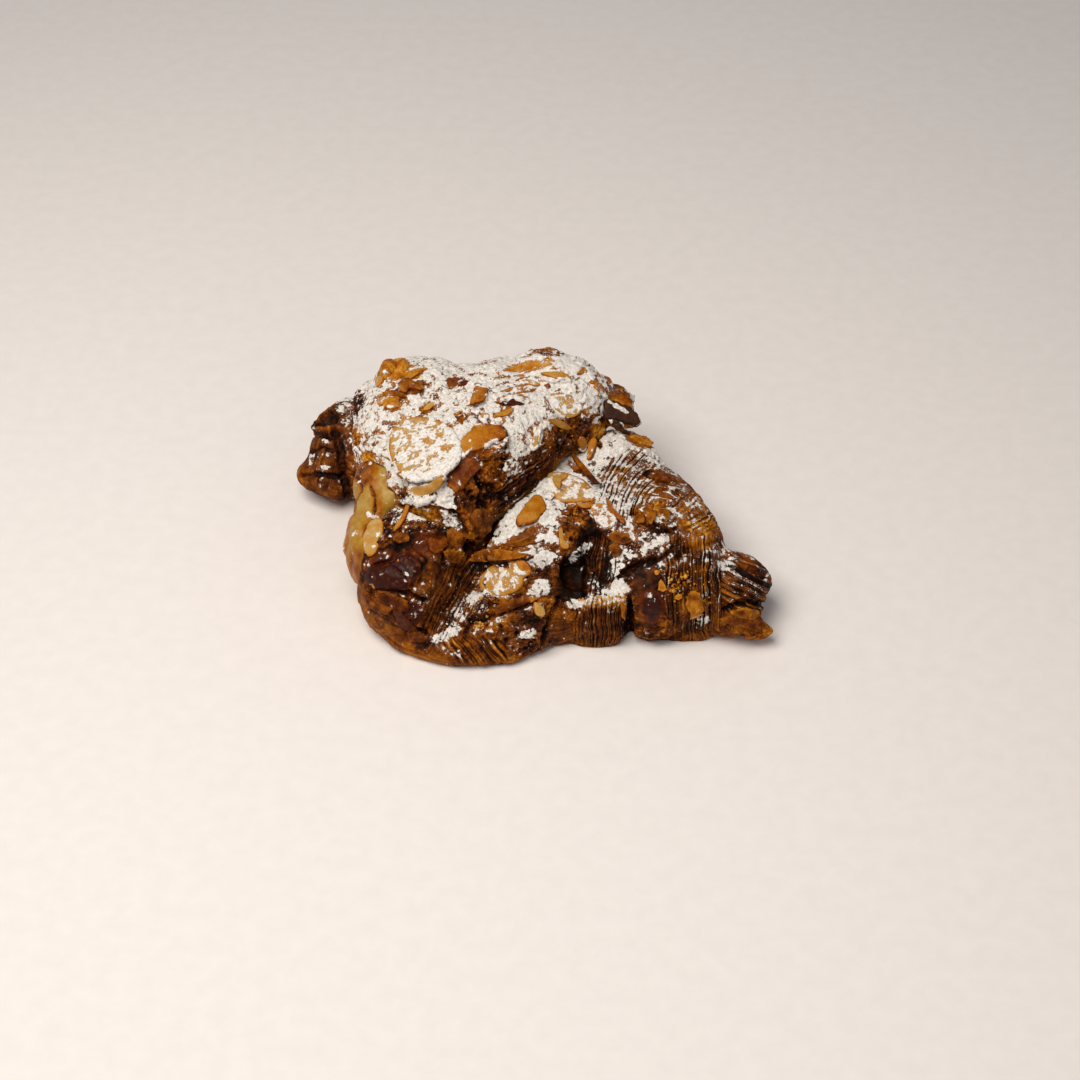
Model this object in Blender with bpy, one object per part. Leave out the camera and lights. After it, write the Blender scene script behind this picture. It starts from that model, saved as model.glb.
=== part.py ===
"""Almond croissant: a wide butter croissant, split from the front and left, filled with almond cream,
topped with sliced almonds and baked again.

Metres, +Z up, standing on Z = 0, with the origin under the middle of its bounding box.
+X runs from the left horn to the right horn, and -Y is the split front.
The pastry is a union of dough bands, each a stretched, blunt-ended barrel, as the wraps of a croissant bake.
"""

import math

import bmesh
import bpy
from mathutils import Euler, Matrix, Vector, noise
from mathutils.bvhtree import BVHTree

MM = 0.001

# Driving sizes, in millimetres.
CUT_HEIGHT = 35.0  # of the baker's cut above the tray, in the middle
CUT_FALL = 0.04  # how far it falls for each millimetre towards the back
CUT_WAVE = 1.2  # how far it wanders up and down
CREAM_AT_LEFT = 5.0  # thickness of the almond cream at the left end, where it oozes out
CREAM_AT_RIGHT = 1.6
LID_LEFT_END = -64.0
LID_RIGHT_END = 28.0
CREAM_SETBACK = 1.2  # how far the cream stays inside the lid's edge, where it doesn't ooze
CLEARANCE = 0.35  # between solids that touch
CRAG_HEIGHT = 1.0  # rise and fall of the crust
CRAG_WIDTH = 13.0
SMALL_CRAG_SHARE = 0.45  # height and width of the small crags, as shares of the wide ones
ALMOND_THICKNESS = 2.0
ALMOND_SUNK = 0.35  # share of the thickness that is baked into the crust
ALMOND_LEVEL = 0.25  # 0 lies along the crust, 1 lies level
ALMOND_TAPER = 0.5  # how much narrower the pointed end is than the blunt one
ORIGIN_SHIFT = (2.5, -2.0)  # brings the middle of the bounding box over the origin

# The leaves of dough, in pairs, whose edges stand out of the right wrap: a fan on top, upright at the front.
LAYER_PITCH = 5.4
LAYER_RISE = 1.0
FAN_CENTRE = (49, -27)
FAN_LEFT_END = 24
FAN_HUB = 12  # radius round the centre where no leaf shows
FAN_FLOOR = 26
FRONT_LAYERS_BACK = -30
FRONT_LAYERS_LEFT = 10
FRONT_LAYERS_FADE = 8  # height over which the leaves fade out towards the tray

# How finely the solids are made.
VOXEL = 1.3
LID_TRIANGLES = 3400
BASE_TRIANGLES = 7400
CREAM_TRIANGLES = 500
WORK_SIZE = 240.0  # side of the blocks that cut the pastry
WORK_ROOF = 90.0  # their height, clear of the pastry's top
CUT_SEGMENTS = 24  # along each side of the knife's cut
CUT_WAVE_WIDTH = 30.0

# Base colour and roughness of each solid.
CRUST = ((0.20, 0.08, 0.025), 0.7)
SUGARED_CRUST = ((0.62, 0.50, 0.36), 0.8)
BAKED_CREAM = ((0.60, 0.38, 0.12), 0.5)

# name: centre, half sizes (along the roll, across it, up), turn about Z, tilt (its far end down is +),
# bluntness of its ends, squareness of its section.
BASE_BANDS = {
    "foot": ((-21, -19, 4), (37, 36, 9), 0, 0, 2.2, 2.4),
    "chunk": ((-33, -11, 15), (18, 38, 24), -27, 0, 2.8, 2.5),
    "under_lid": ((-19, 13, 15), (41, 44, 20), -18, 0, 2.8, 2.6),
    "middle": ((5, -10, 14), (26, 33, 22), -34, 0, 2.6, 2.4),
    "porous_block": ((-4, -36, 8), (11, 14, 11), -8, 0, 3.0, 2.6),
    "tongue": ((-8, -29, 29), (14, 8, 4), -28, -6, 2.4, 2.4),
    "front_bridge": ((8, -36, 6), (8, 9, 10), 0, 0, 2.4, 2.4),
    "front_ledge": ((21, -31, 8), (9, 14, 14), 2, 0, 6.0, 4.0),
    "right_wrap": ((32, -6, 13), (42, 28, 24), -57, 0, 2.3, 2.4),
    "right_back": ((28, 15, 14), (17, 19, 23), -45, 0, 2.4, 2.4),
    "right_front": ((49, -26, 12), (14, 17, 20), -4, 0, 4.0, 3.2),
    "right_roll": ((41, -29, 12), (6, 14, 18), -4, 0, 2.6, 2.4),
    "right_horn": ((65, -30, 12), (13, 15, 13), -14, 4, 2.4, 2.2),
    "right_horn_tip": ((72, -27, 16), (9, 7, 5), -14, 14, 1.8, 2.0),
    "right_horn_flake": ((70, -42, 8), (11, 4, 4), -4, 10, 1.6, 2.0),
    "left_neck": ((-56, 37, 14), (16, 19, 17), -10, 0, 2.4, 2.2),
    "left_horn": ((-67, 41, 15), (12, 19, 14), -18, 0, 2.4, 2.2),
    "left_horn_upper_tip": ((-71, 47, 17), (10, 8, 8), 6, 0, 1.6, 2.0),
    "left_horn_lower_tip": ((-71, 30, 10), (15, 11, 9), 0, 0, 1.6, 2.0),
}
LID_BANDS = {
    "lid_main": ((-17, 14, 32), (24, 40, 26), -37, 0, 3.0, 2.6),
    "lid_lip": ((-19, -20, 37), (5, 10, 6), -30, 0, 2.2, 2.2),
    "lid_left": ((-39, 24, 32), (23, 30, 25), -10, 0, 2.5, 2.4),
    "lid_back": ((-18, 34, 32), (24, 18, 21), 0, 0, 2.4, 2.3),
    "crest": ((6, 34, 36), (21, 19, 22), -24, 5, 2.4, 2.2),
    "left_drape": ((-55, 37, 33), (10, 14, 9), 0, 0, 2.2, 2.2),
    "left_knob": ((-46, 40, 39), (11, 11, 13), 10, 0, 2.2, 2.2),
    "brown_flap": ((25, 36, 40), (10, 9, 5), -30, 8, 2.0, 2.0),
    "burnt_spike": ((25, 29, 41), (14, 7, 3), -14, 16, 1.6, 2.0),
}
OOZE_BANDS = {
    "upper_ooze": ((-50, 0, 34), (11, 14, 9), 0, 0, 2.2, 2.2),
    "lower_ooze": ((-55, -17, 21), (9, 13, 14), 0, 0, 2.2, 2.2),
}
# Dark hollows between the wraps at the front, cut out of the base.
HOLLOWS = {
    "under_the_tongue": ((-17, -34, 27), (8, 5, 2), -20, 0, 2.0, 2.0),
    "behind_the_ledge": ((14, -35, 27), (6, 6, 7), 0, 0, 2.2, 2.2),
    "between_the_wraps": ((20, -28, 34), (5, 7, 8), -10, 0, 2.0, 2.2),
    "left_of_the_roll": ((32, -42, 8), (2, 6, 14), -12, 0, 2.0, 2.2),
}
# name: place on the tray, length, width, heading of its point.
LID_ALMONDS = {
    "big_slice": ((-36, -7), 24, 22, 100),
    "slice_at_the_ooze": ((-35.5, -16.2), 13, 10, 15),
    "golden_slice": ((-16.5, -4.5), 17, 13, 20),
    "orange_square": ((-19, 16), 7, 6, 70),
    "knob_slice": ((-48, 34), 11, 7, 60),
    "red_patch": ((-42, 22), 8, 6, 20),
    "top_sliver": ((8, 27), 10, 3, -12),
    "grey_slice": ((1, 3.7), 9, 4, 80),
}
BASE_ALMONDS = {
    "dusted_right": ((13, -3.5), 17, 13, 160),
    "golden_flake": ((-0.6, -16.3), 15, 10, 235),
    "dusted_front": ((-9.2, -37.5), 17, 13, 15),
    "small_front": ((2, -43.8), 6, 4, -60),
    "golden_left": ((38, -17), 8, 6, 30),
    "golden_right": ((43.5, -17), 5, 4, -40),
}


def superellipsoid(direction, blunt, square):
    """The point of a unit superellipsoid in this direction: blunt shapes its ends, square its section."""
    x, y, z = (abs(c) for c in direction)
    section = (y**square + z**square) ** (blunt / square)
    return direction / (x**blunt + section) ** (1 / blunt)


def dough_band(name, centre, half, yaw, tilt, blunt, square, fineness=5):
    """One band of rolled dough as a closed mesh object."""
    bm = bmesh.new()
    bmesh.ops.create_icosphere(bm, subdivisions=fineness, radius=1.0)
    for vertex in bm.verts:
        point = superellipsoid(vertex.co.normalized(), blunt, square)
        vertex.co = Vector((point.x * half[0], point.y * half[1], point.z * half[2]))
    turn = Euler((0, math.radians(tilt), math.radians(yaw))).to_matrix().to_4x4()
    bmesh.ops.transform(bm, matrix=Matrix.Scale(MM, 4) @ Matrix.Translation(centre) @ turn, verts=bm.verts)
    return new_object(name, bm)


def new_object(name, bm):
    mesh = bpy.data.meshes.new(name)
    bm.to_mesh(mesh)
    bm.free()
    item = bpy.data.objects.new(name, mesh)
    bpy.context.scene.collection.objects.link(item)
    return item


def apply_modifiers(item):
    graph = bpy.context.evaluated_depsgraph_get()
    mesh = bpy.data.meshes.new_from_object(item.evaluated_get(graph))
    item.modifiers.clear()
    item.data = mesh


def crag_height(place):
    """Rise and fall of the crust: wide swellings with smaller ones on them."""
    wide = noise.noise(place / CRAG_WIDTH)
    small = noise.noise(place / (CRAG_WIDTH * SMALL_CRAG_SHARE))
    return (wide + SMALL_CRAG_SHARE * small) * CRAG_HEIGHT


def layer_height(place):
    """Rise of the leaves of dough on the right wrap and the front."""
    x, y, z = place
    fan_radius = math.hypot(x - FAN_CENTRE[0], y - FAN_CENTRE[1])
    on_fan = x > FAN_LEFT_END and z > FAN_FLOOR and fan_radius > FAN_HUB
    on_front = y < FRONT_LAYERS_BACK and x > FRONT_LAYERS_LEFT and z < FAN_FLOOR
    if on_fan:
        return LAYER_RISE * (0.5 - (fan_radius / LAYER_PITCH) % 1)
    if on_front:
        fade = min(max(z / FRONT_LAYERS_FADE, 0), 1)
        return LAYER_RISE * fade * (0.5 - (x / LAYER_PITCH) % 1)
    return 0


def base_relief(place):
    return crag_height(place) + layer_height(place)


def fused(name, bands, triangles, relief):
    """One skin over all the bands, raised by relief(place), then thinned to this many triangles."""
    bm = bmesh.new()
    for band in [dough_band(band_name, *spec) for band_name, spec in bands.items()]:
        bm.from_mesh(band.data)
        bpy.data.objects.remove(band)
    pastry = new_object(name, bm)
    remesh = pastry.modifiers.new("bake together", "REMESH")
    remesh.mode = "VOXEL"
    remesh.voxel_size = VOXEL * MM
    soften = pastry.modifiers.new("soften the creases", "SMOOTH")
    soften.iterations = 2
    apply_modifiers(pastry)
    normals = [vertex.normal.copy() for vertex in pastry.data.vertices]
    for vertex, normal in zip(pastry.data.vertices, normals):
        vertex.co += normal * relief(vertex.co / MM) * MM
    thin = pastry.modifiers.new("thin out", "DECIMATE")
    thin.ratio = triangles / (2 * len(pastry.data.polygons))
    apply_modifiers(pastry)
    return pastry


def grown(item, name, distance):
    """A copy of a solid whose skin is moved out by this many millimetres."""
    copy = bpy.data.objects.new(name, item.data.copy())
    bpy.context.scene.collection.objects.link(copy)
    normals = [vertex.normal.copy() for vertex in copy.data.vertices]
    for vertex, normal in zip(copy.data.vertices, normals):
        vertex.co += normal * distance * MM
    return copy


def almond_slice(name, skin, place, length, width, heading):
    """A sliced almond, blunt at one end and pointed at the other, lying on the crust and baked into it."""
    bm = bmesh.new()
    bmesh.ops.create_circle(bm, cap_ends=True, segments=12, radius=0.5)
    for vertex in bm.verts:
        taper = 1 - ALMOND_TAPER * vertex.co.x
        vertex.co = Vector((vertex.co.x * length, vertex.co.y * width * taper, 0))
    top = bmesh.ops.extrude_face_region(bm, geom=bm.faces[:])["geom"]
    raised = [part for part in top if isinstance(part, bmesh.types.BMVert)]
    bmesh.ops.translate(bm, vec=(0, 0, ALMOND_THICKNESS), verts=raised)
    bmesh.ops.translate(bm, vec=(0, 0, -ALMOND_THICKNESS * ALMOND_SUNK), verts=bm.verts)
    bmesh.ops.recalc_face_normals(bm, faces=bm.faces)
    above = Vector((place[0], place[1], WORK_SIZE)) * MM
    point, crust_normal, _, _ = skin.ray_cast(above, Vector((0, 0, -1)))
    up = crust_normal.lerp(Vector((0, 0, 1)), ALMOND_LEVEL)
    lean = Vector((0, 0, 1)).rotation_difference(up).to_matrix().to_4x4()
    spin = Matrix.Rotation(math.radians(heading), 4, "Z")
    placing = Matrix.Translation(point) @ Matrix.Scale(MM, 4) @ lean @ spin
    bmesh.ops.transform(bm, matrix=placing, verts=bm.verts)
    return new_object(name, bm)


def top_with_almonds(item, almonds):
    """Fuses almond slices onto a solid, with one Boolean union on a collection."""
    skin = BVHTree.FromObject(item, bpy.context.evaluated_depsgraph_get())
    toppings = bpy.data.collections.new("toppings")
    for name, spec in almonds.items():
        toppings.objects.link(almond_slice(name, skin, *spec))
    bake = item.modifiers.new("bake the almonds on", "BOOLEAN")
    bake.operation = "UNION"
    bake.operand_type = "COLLECTION"
    bake.solver = "MANIFOLD"
    bake.collection = toppings
    apply_modifiers(item)
    for topping in list(toppings.objects):
        bpy.data.objects.remove(topping)
    bpy.data.collections.remove(toppings)


def boolean(item, operation, other, keep_other=False):
    cut = item.modifiers.new(operation.lower(), "BOOLEAN")
    cut.operation = operation
    cut.solver = "EXACT"
    cut.object = other
    apply_modifiers(item)
    if not keep_other:
        bpy.data.objects.remove(other)


def cut_height(x, y):
    """Height of the knife's cut over a point of the tray."""
    wave = noise.noise(Vector((x, y, 0)) / CUT_WAVE_WIDTH) * CUT_WAVE
    return CUT_HEIGHT - CUT_FALL * y + wave


def cream_thickness(x):
    share = (x - LID_LEFT_END) / (LID_RIGHT_END - LID_LEFT_END)
    share = min(max(share, 0), 1)
    return CREAM_AT_LEFT + (CREAM_AT_RIGHT - CREAM_AT_LEFT) * share


def block_over(name, drop):
    """A block whose underside follows the knife's cut, lowered by drop(x) millimetres."""
    bm = bmesh.new()
    bmesh.ops.create_grid(bm, x_segments=CUT_SEGMENTS, y_segments=CUT_SEGMENTS, size=WORK_SIZE / 2)
    roof = bmesh.ops.extrude_face_region(bm, geom=bm.faces[:])["geom"]
    roof_corners = {part for part in roof if isinstance(part, bmesh.types.BMVert)}
    for vertex in bm.verts:
        x, y = vertex.co.x, vertex.co.y
        vertex.co.z = WORK_ROOF if vertex in roof_corners else cut_height(x, y) - drop(x)
    bmesh.ops.recalc_face_normals(bm, faces=bm.faces)
    bmesh.ops.scale(bm, vec=(MM, MM, MM), verts=bm.verts)
    return new_object(name, bm)


def tray():
    """The block under the tray's surface."""
    bm = bmesh.new()
    bmesh.ops.create_cube(bm, size=WORK_SIZE * MM)
    bmesh.ops.translate(bm, vec=(0, 0, -WORK_SIZE * MM / 2), verts=bm.verts)
    return new_object("tray", bm)


def finish(item, colour, roughness):
    material = bpy.data.materials.new(item.name)
    material.use_nodes = True
    shader = material.node_tree.nodes["Principled BSDF"]
    shader.inputs["Base Color"].default_value = (*colour, 1)
    shader.inputs["Roughness"].default_value = roughness
    item.data.materials.clear()
    item.data.materials.append(material)
    for polygon in item.data.polygons:
        polygon.material_index = 0
    item.data.shade_smooth()


def main():
    for old in list(bpy.data.objects):
        bpy.data.objects.remove(old)
    lid_whole = fused("croissant_lid", LID_BANDS, LID_TRIANGLES, crag_height)
    base = fused("croissant_base", BASE_BANDS, BASE_TRIANGLES, base_relief)
    ooze = fused("ooze", OOZE_BANDS, CREAM_TRIANGLES, crag_height)

    room = grown(lid_whole, "room for the lid", CLEARANCE)
    boolean(room, "INTERSECT", block_over("above the base", lambda x: cream_thickness(x) + 2 * CLEARANCE))
    boolean(base, "DIFFERENCE", room)
    boolean(base, "DIFFERENCE", grown(ooze, "room for the ooze", CLEARANCE))
    for name, spec in HOLLOWS.items():
        boolean(base, "DIFFERENCE", dough_band(name, *spec, fineness=2))
    boolean(base, "DIFFERENCE", tray())

    cream = grown(lid_whole, "almond_cream", -CREAM_SETBACK)
    boolean(cream, "INTERSECT", block_over("cream floor", lambda x: cream_thickness(x) + CLEARANCE))
    boolean(cream, "DIFFERENCE", block_over("cream roof", lambda x: CLEARANCE))
    boolean(cream, "UNION", ooze, keep_other=True)

    boolean(lid_whole, "INTERSECT", block_over("above the cream", lambda x: 0))
    boolean(lid_whole, "DIFFERENCE", grown(ooze, "room for the ooze", CLEARANCE))
    bpy.data.objects.remove(ooze)

    top_with_almonds(lid_whole, LID_ALMONDS)
    top_with_almonds(base, BASE_ALMONDS)
    for item in (base, cream, lid_whole):
        item.data.transform(Matrix.Translation(Vector((*ORIGIN_SHIFT, 0)) * MM))
    finish(base, *CRUST)
    finish(lid_whole, *SUGARED_CRUST)
    finish(cream, *BAKED_CREAM)


main()
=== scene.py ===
# %% [markdown]
# # An almond croissant, baked twice
#
# A day-old croissant is cut open, spread with almond cream, topped with sliced almonds, baked again
# and dusted with icing sugar. The solids of the base, the cream and the lid are a fixed frame.
# This lesson builds the looks around them: a fine crust with its crags, leaves and pores, the oozing
# cream, the toasted almond slices, loose flakes and the sugar.

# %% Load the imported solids
import math
from itertools import product

import bmesh
import bpy
import numpy as np
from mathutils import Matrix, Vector
from mathutils.bvhtree import BVHTree


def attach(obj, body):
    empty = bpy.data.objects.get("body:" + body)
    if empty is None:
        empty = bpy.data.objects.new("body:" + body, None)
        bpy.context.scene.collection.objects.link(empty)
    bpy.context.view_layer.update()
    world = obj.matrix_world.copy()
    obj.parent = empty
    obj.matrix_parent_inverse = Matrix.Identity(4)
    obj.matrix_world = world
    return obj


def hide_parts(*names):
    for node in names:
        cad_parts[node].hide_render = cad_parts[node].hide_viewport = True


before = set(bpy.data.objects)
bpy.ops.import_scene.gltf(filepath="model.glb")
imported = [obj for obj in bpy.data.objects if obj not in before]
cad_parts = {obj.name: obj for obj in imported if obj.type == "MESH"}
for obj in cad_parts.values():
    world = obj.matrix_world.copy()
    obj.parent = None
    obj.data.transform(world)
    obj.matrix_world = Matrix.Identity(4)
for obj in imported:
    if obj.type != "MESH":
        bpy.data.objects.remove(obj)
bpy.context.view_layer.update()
MM = 0.001

# %% [markdown]
# ## Where the camera stands
#
# The crust of a real croissant has no two places alike, so features are placed by where they show:
# a pixel of the photograph is turned into a line of sight, and the feature sits where that line meets
# the crust. That needs the camera first. A 70 mm lens at 45 degrees gives the photograph's view.

# %% The camera's place and its lines of sight
LENS = 70.0
SENSOR = 36.0
PHOTO_SIZE = 1080
PIXEL = 0.34  # mm on the pastry for each pixel of the photograph
CAMERA_TILT = math.radians(45)
AIM = np.array((4.54, -15.27, 20.0))  # mm, the point in the middle of the photograph

view_right = np.array((1.0, 0.0, 0.0))
view_up = np.array((0.0, math.sin(CAMERA_TILT), math.cos(CAMERA_TILT)))
view_back = np.array((0.0, -math.cos(CAMERA_TILT), math.sin(CAMERA_TILT)))
distance = PHOTO_SIZE / 2 * PIXEL / math.tan(math.atan(SENSOR / 2 / LENS))
camera_place = AIM + view_back * distance


def seen(points):
    """Where the photograph shows each point, in pixels, and how far from the camera it is, in mm."""
    arm = points - camera_place
    depth = -(arm @ view_back)
    across = (arm @ view_right) / depth * distance / PIXEL
    up = (arm @ view_up) / depth * distance / PIXEL
    return PHOTO_SIZE / 2 + across, PHOTO_SIZE / 2 - up, depth


def line_of_sight(px, py):
    """The camera's place and the direction through a pixel of the photograph."""
    across = (px - PHOTO_SIZE / 2) * PIXEL
    up = (PHOTO_SIZE / 2 - py) * PIXEL
    aimed = AIM + view_right * across + view_up * up
    return Vector(camera_place), Vector(aimed - camera_place).normalized()


print("camera", round(distance), "mm away")

# %% [markdown]
# ## Noise for crust
#
# Dough rises, cracks and flakes at several sizes at once. Blender's own noise is called for one point
# at a time, and these skins have hundreds of thousands, so the two patterns that matter are
# worked out for whole arrays: smooth noise for swellings, and scattered cells for pores and plates.

# %% Array noise


def scatter_numbers(cell, seed):
    """Three numbers from 0 to 1 for each cell of a grid, the same in each run."""
    bits = (cell.astype(np.int64) * (73856093, 19349663, 83492791)).sum(axis=1) + seed * 1013904223
    bits &= 0xFFFFFFFF
    numbers = []
    for _ in range(3):
        bits = ((bits ^ (bits >> 15)) * 2246822519) & 0xFFFFFFFF
        bits = ((bits ^ (bits >> 13)) * 3266489917) & 0xFFFFFFFF
        numbers.append((bits & 0xFFFFFF) / 0xFFFFFF)
    return np.stack(numbers, axis=1)


def noise(points, width, seed=0):
    """Smooth noise from about -1 to 1, with swellings as wide as width."""
    place = points / width
    cell = np.floor(place)
    inside = place - cell
    blend = inside**3 * (inside * (inside * 6 - 15) + 10)
    total = np.zeros(len(points))
    for corner in product((0, 1), repeat=3):
        slope = scatter_numbers(cell + corner, seed) * 2 - 1
        height = (slope * (inside - corner)).sum(axis=1)
        total += height * np.prod(np.where(corner, blend, 1 - blend), axis=1)
    return total * 1.7


def cells(points, width, seed=0):
    """Distance to the nearest and the next of points scattered one to a cell, in widths, and the nearest's number."""
    place = points / width
    cell = np.floor(place)
    nearest = np.full(len(points), 9.0)
    following = nearest.copy()
    number = np.zeros(len(points))
    for step in product((-1, 0, 1), repeat=3):
        around = cell + step
        spot = scatter_numbers(around, seed)
        reach = np.linalg.norm(place - around - spot, axis=1)
        number = np.where(reach < nearest, spot.sum(axis=1) * 7 % 1, number)
        following = np.minimum(following, np.maximum(nearest, reach))
        nearest = np.minimum(nearest, reach)
    return nearest, following, number


def smooth_step(value, low, high):
    """0 below low, 1 above high, and a soft rise between them."""
    share = np.clip((value - low) / (high - low), 0, 1)
    return share * share * (3 - 2 * share)


print("noise of three points", noise(np.eye(3) * 3.3, 10.0).round(2))

# %% [markdown]
# ## A fine skin from a faceted solid
#
# The solids have flat facets a few millimetres wide. A skin starts as a copy whose loose triangles are
# merged, is remeshed in small voxels and smoothed, so that it can carry relief half a millimetre fine.
# Sculpting by hand would do too, but displacement by named features gives the same result each time.

# %% Copying and remeshing a solid
COARSER = 1.0


def add_object(name, mesh):
    item = bpy.data.objects.new(name, mesh)
    bpy.context.scene.collection.objects.link(item)
    return item


def apply_modifiers(item):
    graph = bpy.context.evaluated_depsgraph_get()
    mesh = bpy.data.meshes.new_from_object(item.evaluated_get(graph))
    item.modifiers.clear()
    item.data = mesh


def merged_copy(node):
    bm = bmesh.new()
    bm.from_mesh(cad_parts[node].data)
    bmesh.ops.remove_doubles(bm, verts=bm.verts, dist=0.01 * MM)
    return bm


def fine_skin(name, node, voxel, smoothing):
    bm = merged_copy(node)
    mesh = bpy.data.meshes.new(name)
    bm.to_mesh(mesh)
    bm.free()
    item = add_object(name, mesh)
    remesh = item.modifiers.new("fine voxels", "REMESH")
    remesh.mode = "VOXEL"
    remesh.voxel_size = voxel * COARSER * MM
    soften = item.modifiers.new("soften the facets", "SMOOTH")
    soften.factor = 0.5
    soften.iterations = smoothing
    apply_modifiers(item)
    return item


print("voxels are drawn", COARSER, "times as wide")

# %% Reading and writing a mesh as arrays


def places_of(mesh):
    flat = np.empty(len(mesh.vertices) * 3, np.float32)
    mesh.vertices.foreach_get("co", flat)
    return flat.reshape(-1, 3).astype(float) / MM


def normals_of(mesh):
    flat = np.empty(len(mesh.vertices) * 3, np.float32)
    mesh.vertex_normals.foreach_get("vector", flat)
    return flat.reshape(-1, 3).astype(float)


def move_to(mesh, places):
    mesh.vertices.foreach_set("co", (places * MM).astype(np.float32).ravel())
    mesh.update()


def store(mesh, name, values):
    layer = mesh.attributes.get(name) or mesh.attributes.new(name, "FLOAT", "POINT")
    layer.data.foreach_set("value", values.astype(np.float32))


print("solids have", sum(len(places_of(node.data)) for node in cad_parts.values()), "corners")

# %% The three skins


def tree_of(bms):
    """One search tree over several meshes, in mm."""
    corners, faces = [], []
    for bm in bms:
        bm.verts.index_update()
        start = len(corners)
        corners += [vertex.co / MM for vertex in bm.verts]
        faces += [[vertex.index + start for vertex in face.verts] for face in bm.faces]
    return BVHTree.FromPolygons(corners, faces)


solid_meshes = [merged_copy(node) for node in sorted(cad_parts)]
solids = tree_of(solid_meshes)
for bm in solid_meshes:
    bm.free()

skins = {
    "base": fine_skin("base_crust", "croissant_base", 0.42, 16),
    "lid": fine_skin("lid_crust", "croissant_lid", 0.42, 16),
    "cream": fine_skin("baked_almond_cream", "almond_cream", 0.55, 10),
}
for part, skin in skins.items():
    print(part, len(skin.data.polygons), "faces")

# %% [markdown]
# ## Brush strokes
#
# A baker sees the crust as places: a burnt chunk, a bare golden patch, a drift of sugar.
# Each is a brush stroke here: an ellipse with a ragged edge, laid on the crust where the photograph
# shows it. Its lengths are in millimetres. A stroke only reaches what is about as far from the camera as its
# own middle, so that it never paints the back.

# %% The brush
STROKE_DEPTH = 9.0  # mm, how far nearer or farther than its middle a stroke reaches


class Place:
    """Points of a surface with what the brushes need to know of them."""

    def __init__(self, points, normals):
        self.points = points
        self.normals = normals
        self.px, self.py, self.depth = seen(points)
        self.ragged = noise(points, 3.0, 11) * 0.6 + noise(points, 1.2, 12) * 0.4
        self.towards_camera = smooth_step(normals @ view_back, -0.25, 0.1)


def depth_at(px, py):
    start, direction = line_of_sight(px, py)
    hit = solids.ray_cast(start, direction)[0]
    return seen(np.array(hit)[None])[2][0] if hit is not None else distance


def brushed(place, px, py, along, across, turn=0.0, soft=0.35):
    """How strongly a stroke covers each point: 1 in its middle and 0 outside."""
    right = (place.px - px) * PIXEL
    up = (py - place.py) * PIXEL
    angle = math.radians(turn)
    lengthwise = (right * math.cos(angle) + up * math.sin(angle)) / along
    crosswise = (up * math.cos(angle) - right * math.sin(angle)) / across
    reach = np.hypot(lengthwise, crosswise) + place.ragged * 0.28
    nearby = 1 - smooth_step(abs(place.depth - depth_at(px, py)), STROKE_DEPTH, STROKE_DEPTH + 6 + along)
    return (1 - smooth_step(reach, 1 - soft, 1 + soft)) * nearby * place.towards_camera


def painted(place, start, strokes):
    """Lays the strokes over a starting value, one after another, each towards its own value."""
    value = start.copy()
    for px, py, along, across, turn, target in strokes.values():
        value += (target - value) * brushed(place, px, py, along, across, turn)
    return value


def along_line(place, line):
    """Distance of each point from a line of pixels, in mm, which side it is on, and how near in depth."""
    nearest = np.full(len(place.px), 1e9)
    side = np.ones(len(place.px))
    for (x0, y0), (x1, y1) in zip(line, line[1:]):
        length = math.hypot(x1 - x0, y1 - y0)
        run = ((place.px - x0) * (x1 - x0) + (place.py - y0) * (y1 - y0)) / length**2
        run = np.clip(run, 0, 1)
        right = place.px - (x0 + run * (x1 - x0))
        down = place.py - (y0 + run * (y1 - y0))
        reach = np.hypot(right, down) * PIXEL
        closer = reach < nearest
        nearest[closer] = reach[closer]
        side[closer] = np.sign(right * (y1 - y0) - down * (x1 - x0))[closer]
    middle = line[len(line) // 2]
    nearby = 1 - smooth_step(abs(place.depth - depth_at(*middle)), STROKE_DEPTH, STROKE_DEPTH + 12)
    return nearest, side, nearby * place.towards_camera


print("the crust is", round(depth_at(PHOTO_SIZE / 2, PHOTO_SIZE / 2)), "mm away in the middle")

# %% [markdown]
# ## Bake: how dark each place is
#
# Crust browns where it is thin, dry or near the heat: 0 is pale gold, 0.5 chestnut, 1 nearly black.
# Under the almond topping the surface is porous, like cake. Where butter and sugar burnt, the
# crust is red-black and glossy. Some browning strokes are painted shade instead: they darken holes,
# a recess, and the strips under the lid's lip, under the tongue and left of the roll.

# %% Strokes of browning, porous crumb and burnt sugar
# name: pixel of its middle, half length and half width in mm, turn in degrees, value
LID_BROWNING = {
    "orange_knob": (396, 368, 6, 4, 0, 0.3),
    "orange_knob_right": (415, 374, 4, 2, 20, 0.25),
    "red_streak": (410, 389, 7, 2.5, 15, 0.62),
    "orange_below_it": (392, 402, 5, 4, 0, 0.32),
    "left_edge_orange": (352, 436, 2.5, 10, 8, 0.48),
    "left_edge_dark": (343, 450, 1.8, 16, 4, 0.66),
    "left_edge_gold": (372, 455, 4, 3, 0, 0.35),
    "dark_fold": (352, 408, 5, 7, 40, 0.72),
    "gold_on_crest": (528, 366, 12, 2.5, 8, 0.25),
    "brown_peak": (548, 352, 6, 2, 0, 0.5),
    "porous_flank": (492, 485, 14, 13, 0, 0.66),
    "flank_red": (470, 462, 8, 3, 20, 0.58),
    "flank_flap": (478, 520, 8, 9, 20, 0.55),
    "flank_right": (535, 458, 9, 6, 40, 0.68),
    "flank_far_right": (572, 435, 9, 5, 35, 0.74),
    "layered_hem": (522, 487, 11, 3.5, 38, 0.82),
    "tan_chunk": (598, 427, 3, 2.5, 30, 0.2),
    "right_end": (612, 388, 5, 4, 0, 0.5),
    # painted shadow: the crust just below the lid's lip is darkened where its shadow falls
    "painted_shadow_under_the_lip": (440, 500, 12, 3, -5, 0.72),
}
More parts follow.
